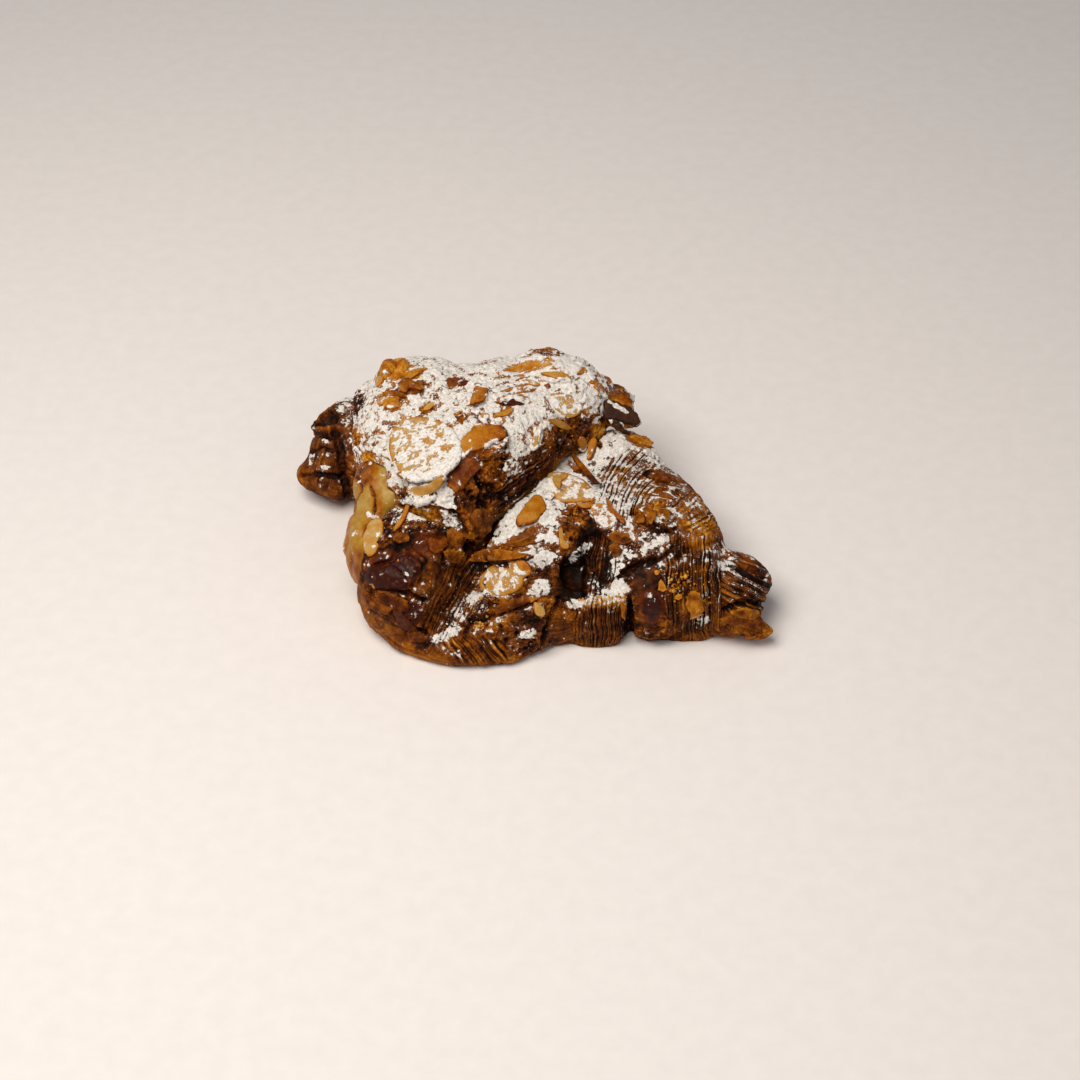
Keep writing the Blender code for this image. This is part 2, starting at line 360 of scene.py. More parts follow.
BASE_BROWNING = {
    "left_horn": (322, 455, 10, 15, 0, 0.68),
    "left_horn_light": (325, 484, 7, 3, 0, 0.76),
    "left_horn_groove": (322, 425, 5, 1.5, 0, 0.85),
    "left_horn_junction": (341, 465, 2, 12, 0, 0.8),
    "left_horn_lip": (322, 427, 4, 1.2, 0, 0.56),
    "chunk": (412, 580, 19, 22, 0, 0.68),
    "chunk_top": (425, 522, 14, 7, 0, 0.74),
    "chunk_brown": (428, 560, 8, 8, 0, 0.69),
    "chunk_shoulder": (390, 546, 5, 5, 0, 0.82),
    "flake_on_chunk": (455, 545, 4, 3, 0, 0.6),
    "bottom_rim_left": (375, 622, 4, 13, 35, 0.5),
    "bottom_rim": (425, 655, 17, 3.5, -18, 0.54),
    "bottom_rim_end": (470, 655, 10, 4, 0, 0.6),
    "layered_strip": (452, 600, 5, 18, -28, 0.7),
    "porous_block": (522, 628, 9, 9, 0, 0.78),
    "block_edge_gold": (495, 622, 8, 2.5, 15, 0.52),
    "block_left": (480, 615, 6, 3, 20, 0.64),
    "hem_below_almond": (500, 555, 12, 3.5, 12, 0.52),
    "tongue": (488, 550, 7, 4, 15, 0.52),
    "dark_middle": (550, 580, 7, 6, 0, 0.84),
    "between_the_drifts": (545, 535, 4, 8, 0, 0.6),
    # painted shadow: the gap under the tongue is darkened to nearly black where shade falls
    "painted_shadow_under_the_tongue": (487, 565, 6, 2.0, 8, 1.0),
    "porous_cream": (568, 534, 4, 7, 0, 0.58),
    "tongue_face": (515, 543, 12, 3.5, 28, 0.5),
    # painted shade: the recess and the deep hole are darkened to nearly black where shade falls
    "painted_shade_in_the_recess": (573, 578, 5.5, 8, 0, 1.0),
    "shaded_deep_hole": (592, 543, 5, 7, 0, 1.0),
    "hole_walls": (603, 565, 5, 12, 0, 0.88),
    "front_ledge": (602, 628, 9, 9, 0, 0.72),
    "front_left_of_ledge": (560, 635, 6, 5, 0, 0.7),
    "ledge_crumbs": (602, 602, 9, 1.8, 5, 0.3),
    "roll_face": (648, 590, 6, 12, 0, 0.84),
    "roll_gold": (637, 618, 3.5, 6, 0, 0.66),
    "shadow_left_of_roll": (627, 615, 2, 9, 0, 1.0),
    "right_leaves": (693, 590, 10, 18, 0, 0.72),
    "right_leaves_gold": (690, 600, 4, 6, 0, 0.54),
    "shoulder": (702, 530, 7, 7, 0, 0.38),
    "shoulder_top": (693, 505, 6, 5, 0, 0.44),
    "outer_edge": (690, 480, 3, 10, 40, 0.62),
    "gold_edge": (640, 442, 5, 2.5, -20, 0.3),
    "fan": (645, 480, 15, 13, 0, 0.52),
    # painted shade: the hole in the fan is darkened to nearly black
    "shaded_hole_in_fan": (650, 474, 2.5, 1.5, 0, 1.0),
    "golden_flakes": (652, 512, 6, 4, 0, 0.3),
    "right_horn": (745, 590, 10, 15, 0, 0.74),
    "right_horn_tips": (762, 585, 3, 10, 0, 0.78),
    "right_horn_top": (738, 550, 8, 3, -30, 0.6),
    "horn_flake": (748, 622, 8, 4, -10, 0.4),
}
POROUS = {
    "flank": (492, 487, 16, 14, 0, 1.0),
    "flank_flap": (478, 522, 8, 9, 20, 0.8),
    "flank_right": (530, 458, 9, 5, 40, 0.9),
    "flank_far_right": (572, 436, 9, 5, 35, 1.0),
    "block": (520, 630, 10, 10, 0, 1.0),
    "block_left": (482, 622, 8, 5, 0, 0.8),
    "cream_blob": (568, 534, 4, 7, 0, 1.0),
    "ledge_crumbs": (600, 600, 9, 2.5, 5, 0.8),
    "chunk_crumb": (455, 552, 4, 5, 0, 0.6),
    "tongue": (505, 550, 13, 4, 12, 0.5),
}
BURNT = {
    "chunk_upper": (388, 572, 7, 6, 0, 0.9),
    "chunk_flap": (410, 566, 3, 5, 20, 1.0),
    "chunk_lower": (408, 614, 5, 5, 0, 0.8),
    "chunk_top_left": (430, 543, 6, 4, 0, 0.4),
    "roll": (652, 607, 4, 5, 0, 1.0),
    "lid_red": (468, 462, 7, 3, 20, 0.6),
    "lid_below_slice": (452, 480, 4, 5, 0, 0.6),
    "lid_streak": (408, 388, 5, 2, 15, 0.6),
    "lid_streak_right": (456, 382, 4, 1.5, 0, 0.8),
    "lid_crack": (510, 403, 4, 1, 0, 0.8),
    "fan_end": (700, 490, 4, 3, 0, 0.5),
    "horn": (745, 560, 6, 3, -30, 0.15),
}
CALM = {  # where the crust is a smooth, amber sheet without flakes
    "roll_face": (645, 583, 5, 7, 0, 0.95),
    "roll_face_low": (650, 608, 4, 6, 0, 0.85),
    "tongue": (520, 546, 15, 4.5, 12, 0.95),
    "tongue_tip": (484, 556, 6, 2.5, 5, 0.9),
    "left_of_ledge": (562, 632, 5, 4, 0, 0.85),
    "recess": (573, 580, 5, 7, 0, 0.9),
    "left_horn": (322, 455, 11, 15, 0, 0.8),
    "left_edge_of_the_lid": (350, 440, 4, 12, 8, 0.6),
    "outer_edge": (690, 480, 4, 11, 40, 0.85),
    "shoulder": (700, 518, 8, 9, 0, 0.6),
    "bottom_rim": (400, 642, 22, 6, -22, 0.7),
    "bottom_rim_left": (368, 612, 5, 11, 20, 0.6),
    "right_horn": (745, 585, 11, 15, 0, 0.7),
    "chunk_face": (428, 576, 7, 9, 0, 0.65),
    "burnt_chunk": (388, 572, 8, 6, 0, 0.8),
    "gold_edge": (640, 440, 6, 3, -20, 0.9),
    "crest_gold": (528, 366, 12, 3, 8, 0.8),
    "knobs": (394, 368, 6, 4, 0, 0.8),
}
CHARRED = {
    "spike": (622, 410, 7, 4.5, -35, 1.0),
    "spike_root": (610, 405, 4, 4, 0, 0.9),
    "dark_fold": (352, 405, 5, 6, 40, 0.16),
}

print(len(LID_BROWNING), "strokes brown the lid, and", len(BASE_BROWNING), "the base")

# %% [markdown]
# ## Icing sugar: where it fell and where it was knocked off
#
# Sugar falls from a sieve, so it lies on what faces up, thickest on the lid. It leaves steep flanks bare and
# blows off ridges. Value 1 is a closed white drift, 0.5 leaves about half of the crust showing.

# %% Strokes of sugar
LID_SUGAR = {
    "top": (480, 405, 44, 17, 6, 0.88),
    "front_left": (395, 440, 14, 14, 0, 0.8),
    "patchy_left": (368, 440, 5, 10, 0, 0.77),
    "top_right": (560, 395, 16, 9, -10, 0.95),
    "left_edge": (344, 440, 2.4, 15, 5, 0.16),
    "left_bare_spot": (355, 437, 2.0, 3.0, 10, 0.2),
    "left_bare_spot_low": (368, 457, 2.6, 1.8, 10, 0.12),
    "left_edge_low": (356, 468, 3, 4, 0, 0.7),
    "dark_fold": (352, 405, 5, 6, 40, 0.35),
    "knob": (394, 368, 6, 4, 0, 0.1),
    "knob_right": (415, 373, 4, 1.6, 20, 0.1),
    "red_streak": (411, 389, 5.5, 2.2, 15, 0.12),
    "orange_below": (388, 402, 4, 3, 0, 0.3),
    "red_right": (457, 382, 3.5, 1.4, 0, 0.1),
    "bare_crack": (516, 389, 5, 1.6, 0, 0.5),
    "bare_crack_low": (508, 403, 4, 1.0, 0, 0.1),
    "bare_spot": (460, 417, 2.2, 1.6, 0, 0.1),
    "gold_spot": (503, 413, 3.5, 1.2, 25, 0.2),
    "gold_spot_left": (427, 408, 3, 1.4, 30, 0.25),
    "crest_gold": (527, 366, 9, 1.8, 8, 0.35),
    "peak": (548, 351, 6, 1.6, 0, 0.4),
    "thin_veil": (558, 402, 5, 4, 0, 0.62),
    "lines": (515, 385, 8, 4, 10, 0.78),
    "flank": (490, 492, 16, 14, 0, 0.04),
    "flank_flap": (478, 525, 9, 9, 20, 0.03),
    "flank_red": (466, 464, 8, 3, 20, 0.12),
    "flank_specks": (512, 468, 3, 3.5, 0, 0.55),
    "flank_fold": (523, 448, 6, 3, 30, 0.8),
    "flank_low_specks": (510, 485, 2, 4, -10, 0.35),
    "flank_right": (540, 465, 8, 4, 40, 0.2),
    "far_right": (568, 432, 9, 5, 35, 0.1),
    "under_slice": (430, 498, 11, 2.5, -3, 0.6),
    "left_of_slice": (398, 485, 2, 4, 0, 0.7),
    "lip_drift": (447, 488, 3, 6, -40, 0.75),
    "lip_foot": (425, 503, 8, 2.6, -3, 0.8),
    "lip_foot_right": (450, 512, 3.6, 6, 10, 0.95),
    "hem": (522, 487, 10, 3, 38, 0.05),
    "right_end": (612, 388, 5, 4, 0, 0.25),
    "spike_streak": (618, 404, 4.5, 0.8, -38, 0.95),
    "spike_below": (622, 414, 6, 2.4, -35, 0.0),
}
BASE_SUGAR = {
    "left_horn": (322, 455, 10, 15, 0, 0.14),
    "horn_patch_top": (326, 438, 1.6, 2.2, 20, 0.62),
    "horn_patch_middle": (329, 453, 1.6, 1.0, 40, 0.55),
    "horn_patch_low": (319, 470, 3.4, 1.5, 25, 0.62),
    "horn_patch_right": (339, 475, 2.0, 0.9, 10, 0.7),
    "horn_patch_left": (312, 460, 1.3, 2.4, 0, 0.55),
    "left_horn_top": (330, 408, 7, 3, 0, 0.12),
    "left_horn_crest": (344, 404, 2.4, 4.5, -40, 0.6),
    "left_horn_tip": (304, 478, 4, 3, 0, 0.1),
    "left_horn_low": (318, 486, 10, 3, 0, 0.0),
    "junction": (341, 460, 2, 12, 0, 0.3),
    "chunk_face": (410, 585, 20, 20, 0, 0.14),
    "chunk_top": (430, 512, 11, 4, -8, 0.85),
    "chunk_top_right": (451, 522, 4, 5, 0, 0.95),
    "chunk_top_dust": (420, 532, 10, 4, 0, 0.3),
    "chunk_specks": (415, 595, 5, 2, -15, 0.45),
    "chunk_front_drop": (446, 636, 5, 2, 28, 0.85),
    "slope_drift": (468, 604, 9, 2.6, 42, 0.5),
    "slope_drift_top": (478, 596, 4.5, 2, 25, 0.85),
    "slope_top": (478, 585, 3, 3, 0, 0.4),
    "strip": (450, 590, 3, 15, -28, 0.05),
    "rim": (420, 655, 16, 4, -18, 0.04),
    "leaf_edges_low": (482, 648, 10, 5, -8, 0.05),
    "block": (520, 632, 9, 7, 0, 0.12),
    "block_drop": (528, 634, 3, 1.3, 20, 0.85),
    "block_gold": (490, 620, 7, 2, 12, 0.4),
    "tongue": (515, 549, 16, 3.2, 12, 0.16),
    "tongue_tip": (480, 553, 6, 3, 15, 0.25),
    "tongue_top": (486, 549, 3, 1.2, 10, 0.85),
    "middle": (522, 556, 9, 4, 10, 0.5),
    "middle_right": (536, 562, 5, 5, -20, 0.8),
    "dark_middle": (552, 580, 6, 5, 0, 0.06),
    "below_almond": (541, 588, 3.4, 3, 30, 0.8),
    "bright_drift": (524, 515, 13, 6.5, 50, 0.97),
    "drift_foot": (504, 534, 4, 2, 35, 1.0),
    "tongue_bare": (520, 541, 10, 2.4, 27, 0.08),
    "tongue_bare_left": (500, 549, 7, 1.8, 12, 0.1),
    "between": (550, 530, 5, 8, 0, 0.72),
    "cream_side": (568, 534, 3.5, 6, 0, 0.1),
    "cream_foot": (560, 550, 5, 1.6, -20, 0.15),
    "top_drift": (578, 462, 13, 9, 35, 0.93),
    "top_drift_left": (552, 480, 6, 8, 0, 0.93),
    "below_right_almond": (562, 505, 8, 3, 0, 0.7),
    "crumb_patch": (575, 515, 5, 4, 0, 0.3),
    "wrap_top": (614, 446, 10, 7, 0, 1.0),
    "wrap_left": (605, 480, 5, 7, 0, 0.75),
    "fan": (645, 480, 13, 11, 0, 0.6),
    "fan_right": (675, 490, 7, 6, 0, 0.45),
    "white_edge": (656, 455, 4, 3, -40, 0.9),
    "gold_edge": (640, 441, 5, 2, -20, 0.15),
    "outer_edge": (690, 478, 3, 9, 40, 0.1),
    "shaded_hole_in_fan": (650, 474, 2.5, 1.3, 0, 0.0),
    "slivers": (605, 512, 5, 5, 0, 0.8),
    "right_of_slivers": (630, 503, 4, 7, 0, 0.7),
    "golden_flakes": (650, 512, 5, 3.5, 0, 0.3),
    "below_flakes": (662, 525, 4, 3, 0, 0.75),
    "ledge_drift": (655, 547, 8, 2.4, 10, 0.76),
    "ledge_drift_left": (632, 556, 4, 4, 30, 0.6),
    "under_ledge": (640, 562, 6, 2, 18, 0.25),
    "shoulder": (700, 530, 6, 6, 0, 0.2),
    "shaded_deep_hole": (592, 541, 6, 7, 0, 0.0),
    "hole_wall": (603, 560, 4, 7, 0, 0.15),
    "hole_rim": (620, 562, 3, 6, -20, 0.6),
    "recess": (573, 582, 5, 8, 0, 0.0),
    "recess_rim": (580, 553, 5, 1.8, 40, 0.7),
    "ledge_ball": (618, 589, 3.5, 2.5, 0, 1.0),
    "ledge_crumbs": (600, 602, 8, 1.6, 5, 0.7),
    "ledge_left": (573, 604, 4, 1.6, 0, 0.9),
    "ledge_face": (602, 630, 9, 7, 0, 0.08),
    "roll_face": (646, 600, 5, 12, 0, 0.06),
    "roll_drop": (648, 595, 1.6, 1, 0, 0.6),
    "right_leaves": (693, 590, 9, 17, 0, 0.18),
    "leaves_top": (690, 550, 8, 5, 0, 0.36),
    "leaves_drop": (703, 620, 2.2, 1.8, 0, 0.8),
    "right_edge_dust": (720, 590, 1.5, 13, 0, 0.36),
    "horn": (742, 580, 9, 9, 0, 0.22),
    "horn_drift": (728, 567, 3, 3.4, 0, 0.8),
    "horn_streak": (748, 584, 7, 1.6, -30, 0.45),
    "horn_flake": (748, 622, 9, 4, -10, 0.0),
    "horn_below": (735, 612, 4, 3, 0, 0.1),
}

print(len(LID_SUGAR), "strokes of sugar on the lid, and", len(BASE_SUGAR), "on the base")

# %% [markdown]
# ## Leaves of dough
#
# Croissant dough is folded with butter into dozens of leaves. Where a wrap is torn or cut, their edges
# show as fine lines: a fan on the right wrap, upright lines at the front, a slanted strip on the chunk.
# Each field of leaves says where it shows, which way its lines run, and how far apart they are.

# %% Fields of leaves
# name: pixel of its middle, half length and half width in mm, turn, direction of the lines, pitch in mm, strength
LEAVES = {
    "strip_on_chunk": (452, 598, 5.5, 19, -28, 63, 1.5, 0.8),
    "bottom_rim": (475, 650, 11, 5, -10, -52, 2.2, 0.8),
    "front_ledge": (602, 626, 10, 10, 0, 90, 1.5, 0.9),
    "left_of_ledge": (563, 636, 5, 5, 0, 10, 2.5, 0.3),
    "hole_wall": (600, 565, 6, 11, 0, 80, 1.7, 0.8),
    "right_leaves": (696, 588, 11, 19, 0, 90, 1.5, 1.0),
    "horn": (746, 585, 11, 14, 0, -27, 2.8, 1.0),
    "lid_hem": (522, 486, 13, 4, 38, 38, 1.3, 0.9),
    "lid_lines": (514, 388, 9, 5, 10, 15, 2.2, 0.5),
    "slope": (468, 605, 8, 5, 42, 60, 1.8, 0.6),
    "folds_right_of_the_fan": (666, 490, 8, 4, -10, -12, 2.4, 0.6),
    "shoulder_lines": (702, 524, 6, 5, 0, 32, 1.6, 0.7),
    "shoulder_top_lines": (686, 503, 6, 4, 30, 42, 1.8, 0.5),
    "left_horn": (325, 455, 6, 12, 0, 75, 3.0, 0.35),
    "hem_below_the_drift": (515, 548, 12, 3, 12, 14, 1.5, 0.4),
}
FAN = (629, 485, 9.5, 12.5, 0)  # the fan's field
FAN_MIDDLE = (677, 530)  # the pixel that its arcs run round
FAN_FLATTENED = 0.8  # its arcs stand taller than wide
FAN_PITCH = 1.45
SIDE_PITCH = 3.2  # of the wraps' steps round the sides and the back

print(len(LEAVES), "fields of leaves and a fan")

# %% [markdown]
# ## Cracks and raised edges
#
# The crust broke when the croissant was cut and filled. A crack is a crevice, darkened in colour as painted
# shade. A raised edge is where one plate of crust stands over the next: the crust is lifted on one side of the
# line and drops on the other, and a painted shadow line darkens the foot of its low side.

# %% Cracks and edges
# name: width and depth in mm, then the pixels that it runs through
CRACKS = {
    "beside_lid_tip": (1.4, 2.6, [(484, 505), (490, 530), (478, 552)]),
    "left_of_tip": (1.2, 2.2, [(452, 512), (462, 530), (470, 556)]),
    "hole_in_flank": (1.8, 2.5, [(490, 488), (496, 494)]),
    "flank_crack": (0.8, 1.4, [(474, 472), (482, 490), (478, 508)]),
    "chunk_crack": (0.7, 1.2, [(440, 533), (447, 545), (444, 560)]),
    "chunk_crevice": (0.9, 1.4, [(368, 575), (378, 588), (402, 592), (425, 600)]),
    "chunk_fold": (0.9, 1.3, [(392, 610), (408, 628), (425, 632)]),
    "chunk_seam": (0.8, 1.2, [(398, 545), (392, 560), (372, 566)]),
    "under_ledge": (0.8, 2.0, [(622, 572), (640, 563), (656, 558)]),
    "fan_crack": (0.7, 1.5, [(642, 515), (655, 524), (668, 531)]),
    "flake_shadow": (1.0, 1.8, [(632, 512), (642, 517)]),
    "recess_side": (1.0, 2.0, [(583, 560), (585, 580), (584, 598)]),
    "block_side": (1.0, 1.8, [(560, 600), (550, 620), (543, 640)]),
    "horn_upper": (1.0, 1.6, [(742, 567), (755, 570), (764, 578)]),
    "horn_lower": (1.0, 1.6, [(724, 610), (742, 602), (766, 605)]),
    "left_horn_hollow": (2.4, 3.0, [(317, 420), (325, 418), (333, 417)]),
    "below_the_lip": (1.2, 1.8, [(312, 434), (322, 433), (330, 437)]),
    "left_horn_fold": (1.3, 1.8, [(334, 430), (340, 452), (343, 476), (348, 497)]),
    "left_horn_lobes": (0.9, 1.4, [(302, 476), (318, 474), (340, 477)]),
    "left_horn_crease": (0.7, 1.0, [(312, 452), (322, 447), (333, 452)]),
    "spike_root": (1.0, 2.0, [(604, 420), (610, 430)]),
    "below_tan_chunk": (1.0, 1.6, [(596, 440), (600, 446)]),
}
# name: height and reach in mm, then pixels with the raised side on the left of the way they run
EDGES = {
    "lid_lip": (1.0, 5.0, [(392, 490), (400, 505), (430, 505), (460, 512)]),
    "flank_flap": (1.2, 4.0, [(458, 500), (466, 528), (478, 548), (494, 520)]),
    "flank_plate": (1.0, 4.0, [(500, 500), (470, 498), (455, 485)]),
    "chunk_plate": (0.9, 5.0, [(405, 600), (412, 580), (425, 560), (410, 545)]),
    "chunk_flake": (0.9, 3.0, [(444, 552), (460, 555), (470, 545), (466, 532)]),
    "chunk_top": (0.8, 4.0, [(390, 545), (415, 535), (446, 533)]),
    "burnt_flap": (0.9, 3.0, [(418, 580), (420, 565), (408, 552)]),
    "low_plate": (0.7, 4.0, [(372, 610), (400, 625), (420, 640)]),
    "wrap_ledge": (1.3, 5.0, [(618, 576), (640, 565), (662, 556), (672, 545)]),
    "fan_plate": (0.9, 4.0, [(640, 520), (660, 530), (672, 528)]),
    "shoulder_step": (0.8, 4.0, [(672, 560), (684, 545), (712, 540)]),
    "tongue": (0.8, 4.0, [(476, 560), (500, 562), (530, 556)]),
    "left_horn_lip": (0.9, 2.4, [(311, 432), (322, 430), (332, 430)]),
    "block_top": (0.7, 4.0, [(462, 640), (470, 620), (500, 612), (535, 600)]),
}

print(len(CRACKS), "cracks and", len(EDGES), "raised edges")

# %% [markdown]
# ## Where almonds and torn crust lie
#
# The small pieces are told apart by their outlines: a whole slice is a rounded teardrop, a splinter a sliver, and
# torn crust has corners. Each outline is a ring of pixels that the piece's rim shows at. The tables come before
# the crust is shaped, because the crust is pressed down and calmed where a slice rests on it.

# %% Outlines of the almond slices
# name: the rim's pixels, thickness in mm, how far its middle is lifted in mm, dome in mm, how toasted at the left
# and at the right, how thickly dusted
SLICES = {
    "big_slice": ([(389, 443), (393, 429), (402, 420), (418, 417), (440, 421), (454, 432), (461, 447), (458, 462),
                   (446, 473), (430, 480), (412, 481), (399, 473), (391, 458)], 1.8, 0.5, 0.3, 0.3, 0.5, 0.6),
    "slice_at_the_ooze": ([(407, 488), (413, 485), (421, 485), (430, 482), (436, 478), (442, 476), (444, 480),
                           (441, 486), (432, 493), (420, 496), (411, 493)], 2.2, 0.5, 0.2, 0.3, 0.42, 0.14),
    "golden_slice": ([(459, 457), (459, 447), (461, 440), (467, 433), (476, 426), (490, 425), (502, 426), (507, 431),
                      (508, 437), (502, 441), (494, 443), (486, 448), (478, 451), (470, 453), (464, 457)],
                     2.0, 0.1, 0.8, 0.46, 0.82, 0.05),
    "orange_square": ([(475, 387), (482, 388), (488, 389), (487, 394), (484, 401), (477, 403), (470, 404),
                       (472, 395)], 1.2, 0.3, 0.1, 0.6, 0.7, 0.08),
    "sliver_near_the_crest": ([(541, 373), (552, 372), (563, 373), (571, 378), (565, 380), (553, 378)],
                              1.3, 0.4, 0.1, 0.35, 0.5, 0.12),
    "sliver_beside_it": ([(519, 381), (530, 380), (540, 384), (536, 386), (526, 384)], 1.0, 0.3, 0.0, 0.4, 0.4, 0.3),
    "orange_sliver": ([(549, 420), (556, 419), (565, 423), (571, 428), (566, 430), (556, 426)],
                      1.2, 0.8, 0.1, 0.42, 0.62, 0.15),
    "grey_slice": ([(536, 427), (539, 429), (539, 437), (537, 446), (534, 450), (531, 446), (533, 436)],
                   1.3, 0.5, 0.0, 0.3, 0.3, 0.45),
    "veiled_slice": ([(546, 397), (556, 393), (568, 394), (578, 402), (581, 411), (574, 417), (562, 417), (551, 409)],
                     1.2, 0.1, 0.1, 0.34, 0.34, 0.6),
    "chip_left": ([(423, 410), (428, 404), (436, 401), (434, 405), (429, 410)], 0.9, 0.2, 0.0, 0.38, 0.38, 0.15),
    "chip_in_the_middle": ([(496, 416), (497, 413), (505, 412), (513, 408), (512, 412), (506, 416)],
                           1.0, 0.3, 0.0, 0.44, 0.5, 0.12),
    "chip_beside_it": ([(481, 417), (482, 413), (489, 415), (487, 418)], 0.8, 0.2, 0.0, 0.5, 0.5, 0.3),
    "chip_on_the_knob": ([(404, 379), (408, 375), (416, 372), (420, 373), (414, 377), (409, 380)],
                         1.0, 0.4, 0.0, 0.6, 0.6, 0.1),
    "chip_at_the_edge": ([(375, 378), (382, 376), (383, 381), (377, 387)], 1.2, 0.3, 0.0, 0.4, 0.4, 0.05),
    "dusted_right": ([(548, 474), (557, 472), (568, 474), (580, 478), (590, 486), (597, 497), (592, 502), (580, 503),
                      (566, 503), (556, 500), (550, 490)], 1.7, 0.0, 0.4, 0.28, 0.55, 0.6),
    "bare_patch_on_it": ([(551, 473), (558, 473), (566, 474), (568, 477), (562, 481), (560, 488), (555, 485)],
                         1.0, 1.0, 0.2, 0.36, 0.4, 0.04),
    "sliver_under_it": ([(576, 503), (585, 504), (594, 502), (591, 508), (582, 508)], 1.2, 0.4, 0.0, 0.45, 0.7, 0.2),
    "golden_flake": ([(534, 496), (541, 497), (545, 504), (546, 511), (541, 517), (534, 523), (525, 525), (518, 526),
                      (516, 520), (520, 513), (527, 504)], 2.4, 0.4, 0.3, 0.56, 0.62, 0.0),
    "dusted_front": ([(479, 585), (482, 575), (490, 567), (503, 561), (515, 560), (525, 563), (531, 569), (530, 574),
                      (524, 578), (522, 586), (515, 592), (504, 597), (493, 597), (485, 592)],
                     1.8, 0.2, 0.3, 0.36, 0.44, 0.5),
    "lobe_on_the_front_slice": ([(516, 561), (523, 560), (530, 565), (531, 571), (525, 573), (519, 568)],
                                1.2, 1.3, 0.2, 0.5, 0.7, 0.05),
    "small_front": ([(534, 603), (538, 603), (543, 608), (545, 614), (541, 617), (535, 613)],
                    1.5, 0.3, 0.1, 0.25, 0.3, 0.05),
    "in_the_cream": ([(379, 518), (371, 521), (366, 529), (363, 540), (364, 550), (369, 556), (375, 553), (380, 544),
                      (383, 533), (383, 523)], 1.4, -0.2, 0.3, 0.26, 0.36, 0.22),
    "at_the_seam": ([(408, 502), (411, 503), (407, 515), (400, 527), (394, 532), (395, 527), (402, 516)],
                    1.2, 0.8, 0.0, 0.55, 0.55, 0.05),
    "long_stick": ([(571, 452), (575, 455), (582, 463), (590, 472), (598, 482), (594, 483), (586, 476), (577, 465),
                    (572, 457)], 1.4, 1.0, 0.3, 0.72, 1.0, 0.04),
    "short_stick": ([(568, 461), (573, 463), (580, 469), (586, 476), (580, 475), (573, 470)],
                    1.2, 0.5, 0.0, 0.7, 1.0, 0.3),
    "standing_left": ([(578, 441), (583, 437), (586, 440), (586, 447), (582, 451), (579, 447)],
                      1.4, 0.9, 0.0, 0.5, 0.5, 0.5),
    "standing_right": ([(588, 443), (592, 437), (597, 440), (595, 450), (591, 458), (587, 459), (588, 450)],
                       1.4, 1.1, 0.2, 0.55, 0.6, 0.28),
    "curved_sliver": ([(606, 499), (609, 500), (612, 507), (618, 513), (625, 520), (624, 525), (617, 519),
                       (609, 511)], 1.2, 0.8, 0.0, 0.8, 0.8, 0.03),
    "bit_in_the_crumb": ([(559, 528), (562, 528), (562, 536), (565, 543), (569, 545), (568, 549), (562, 548),
                          (559, 541)], 1.2, 0.4, 0.0, 0.45, 0.55, 0.05),
    "bit_on_the_chunk": ([(371, 581), (375, 580), (377, 584), (375, 589), (372, 587)], 1.5, 0.5, 0.0, 0.5, 0.5, 0.0),
    "bit_below_it": ([(402, 610), (404, 606), (407, 606), (405, 611)], 0.9, 0.3, 0.0, 0.4, 0.4, 0.0),
    "bit_at_the_crest": ([(577, 374), (580, 370), (584, 371), (582, 374)], 0.9, 0.3, 0.0, 0.7, 0.7, 0.0),
}
PRESSED = {"big_slice": 1.6, "golden_slice": 1.0, "dusted_right": 0.9, "dusted_front": 0.9, "golden_flake": 0.6,
           "slice_at_the_ooze": 0.8, "veiled_slice": 0.5}  # mm that the crust gives way

print(len(SLICES), "almond pieces")

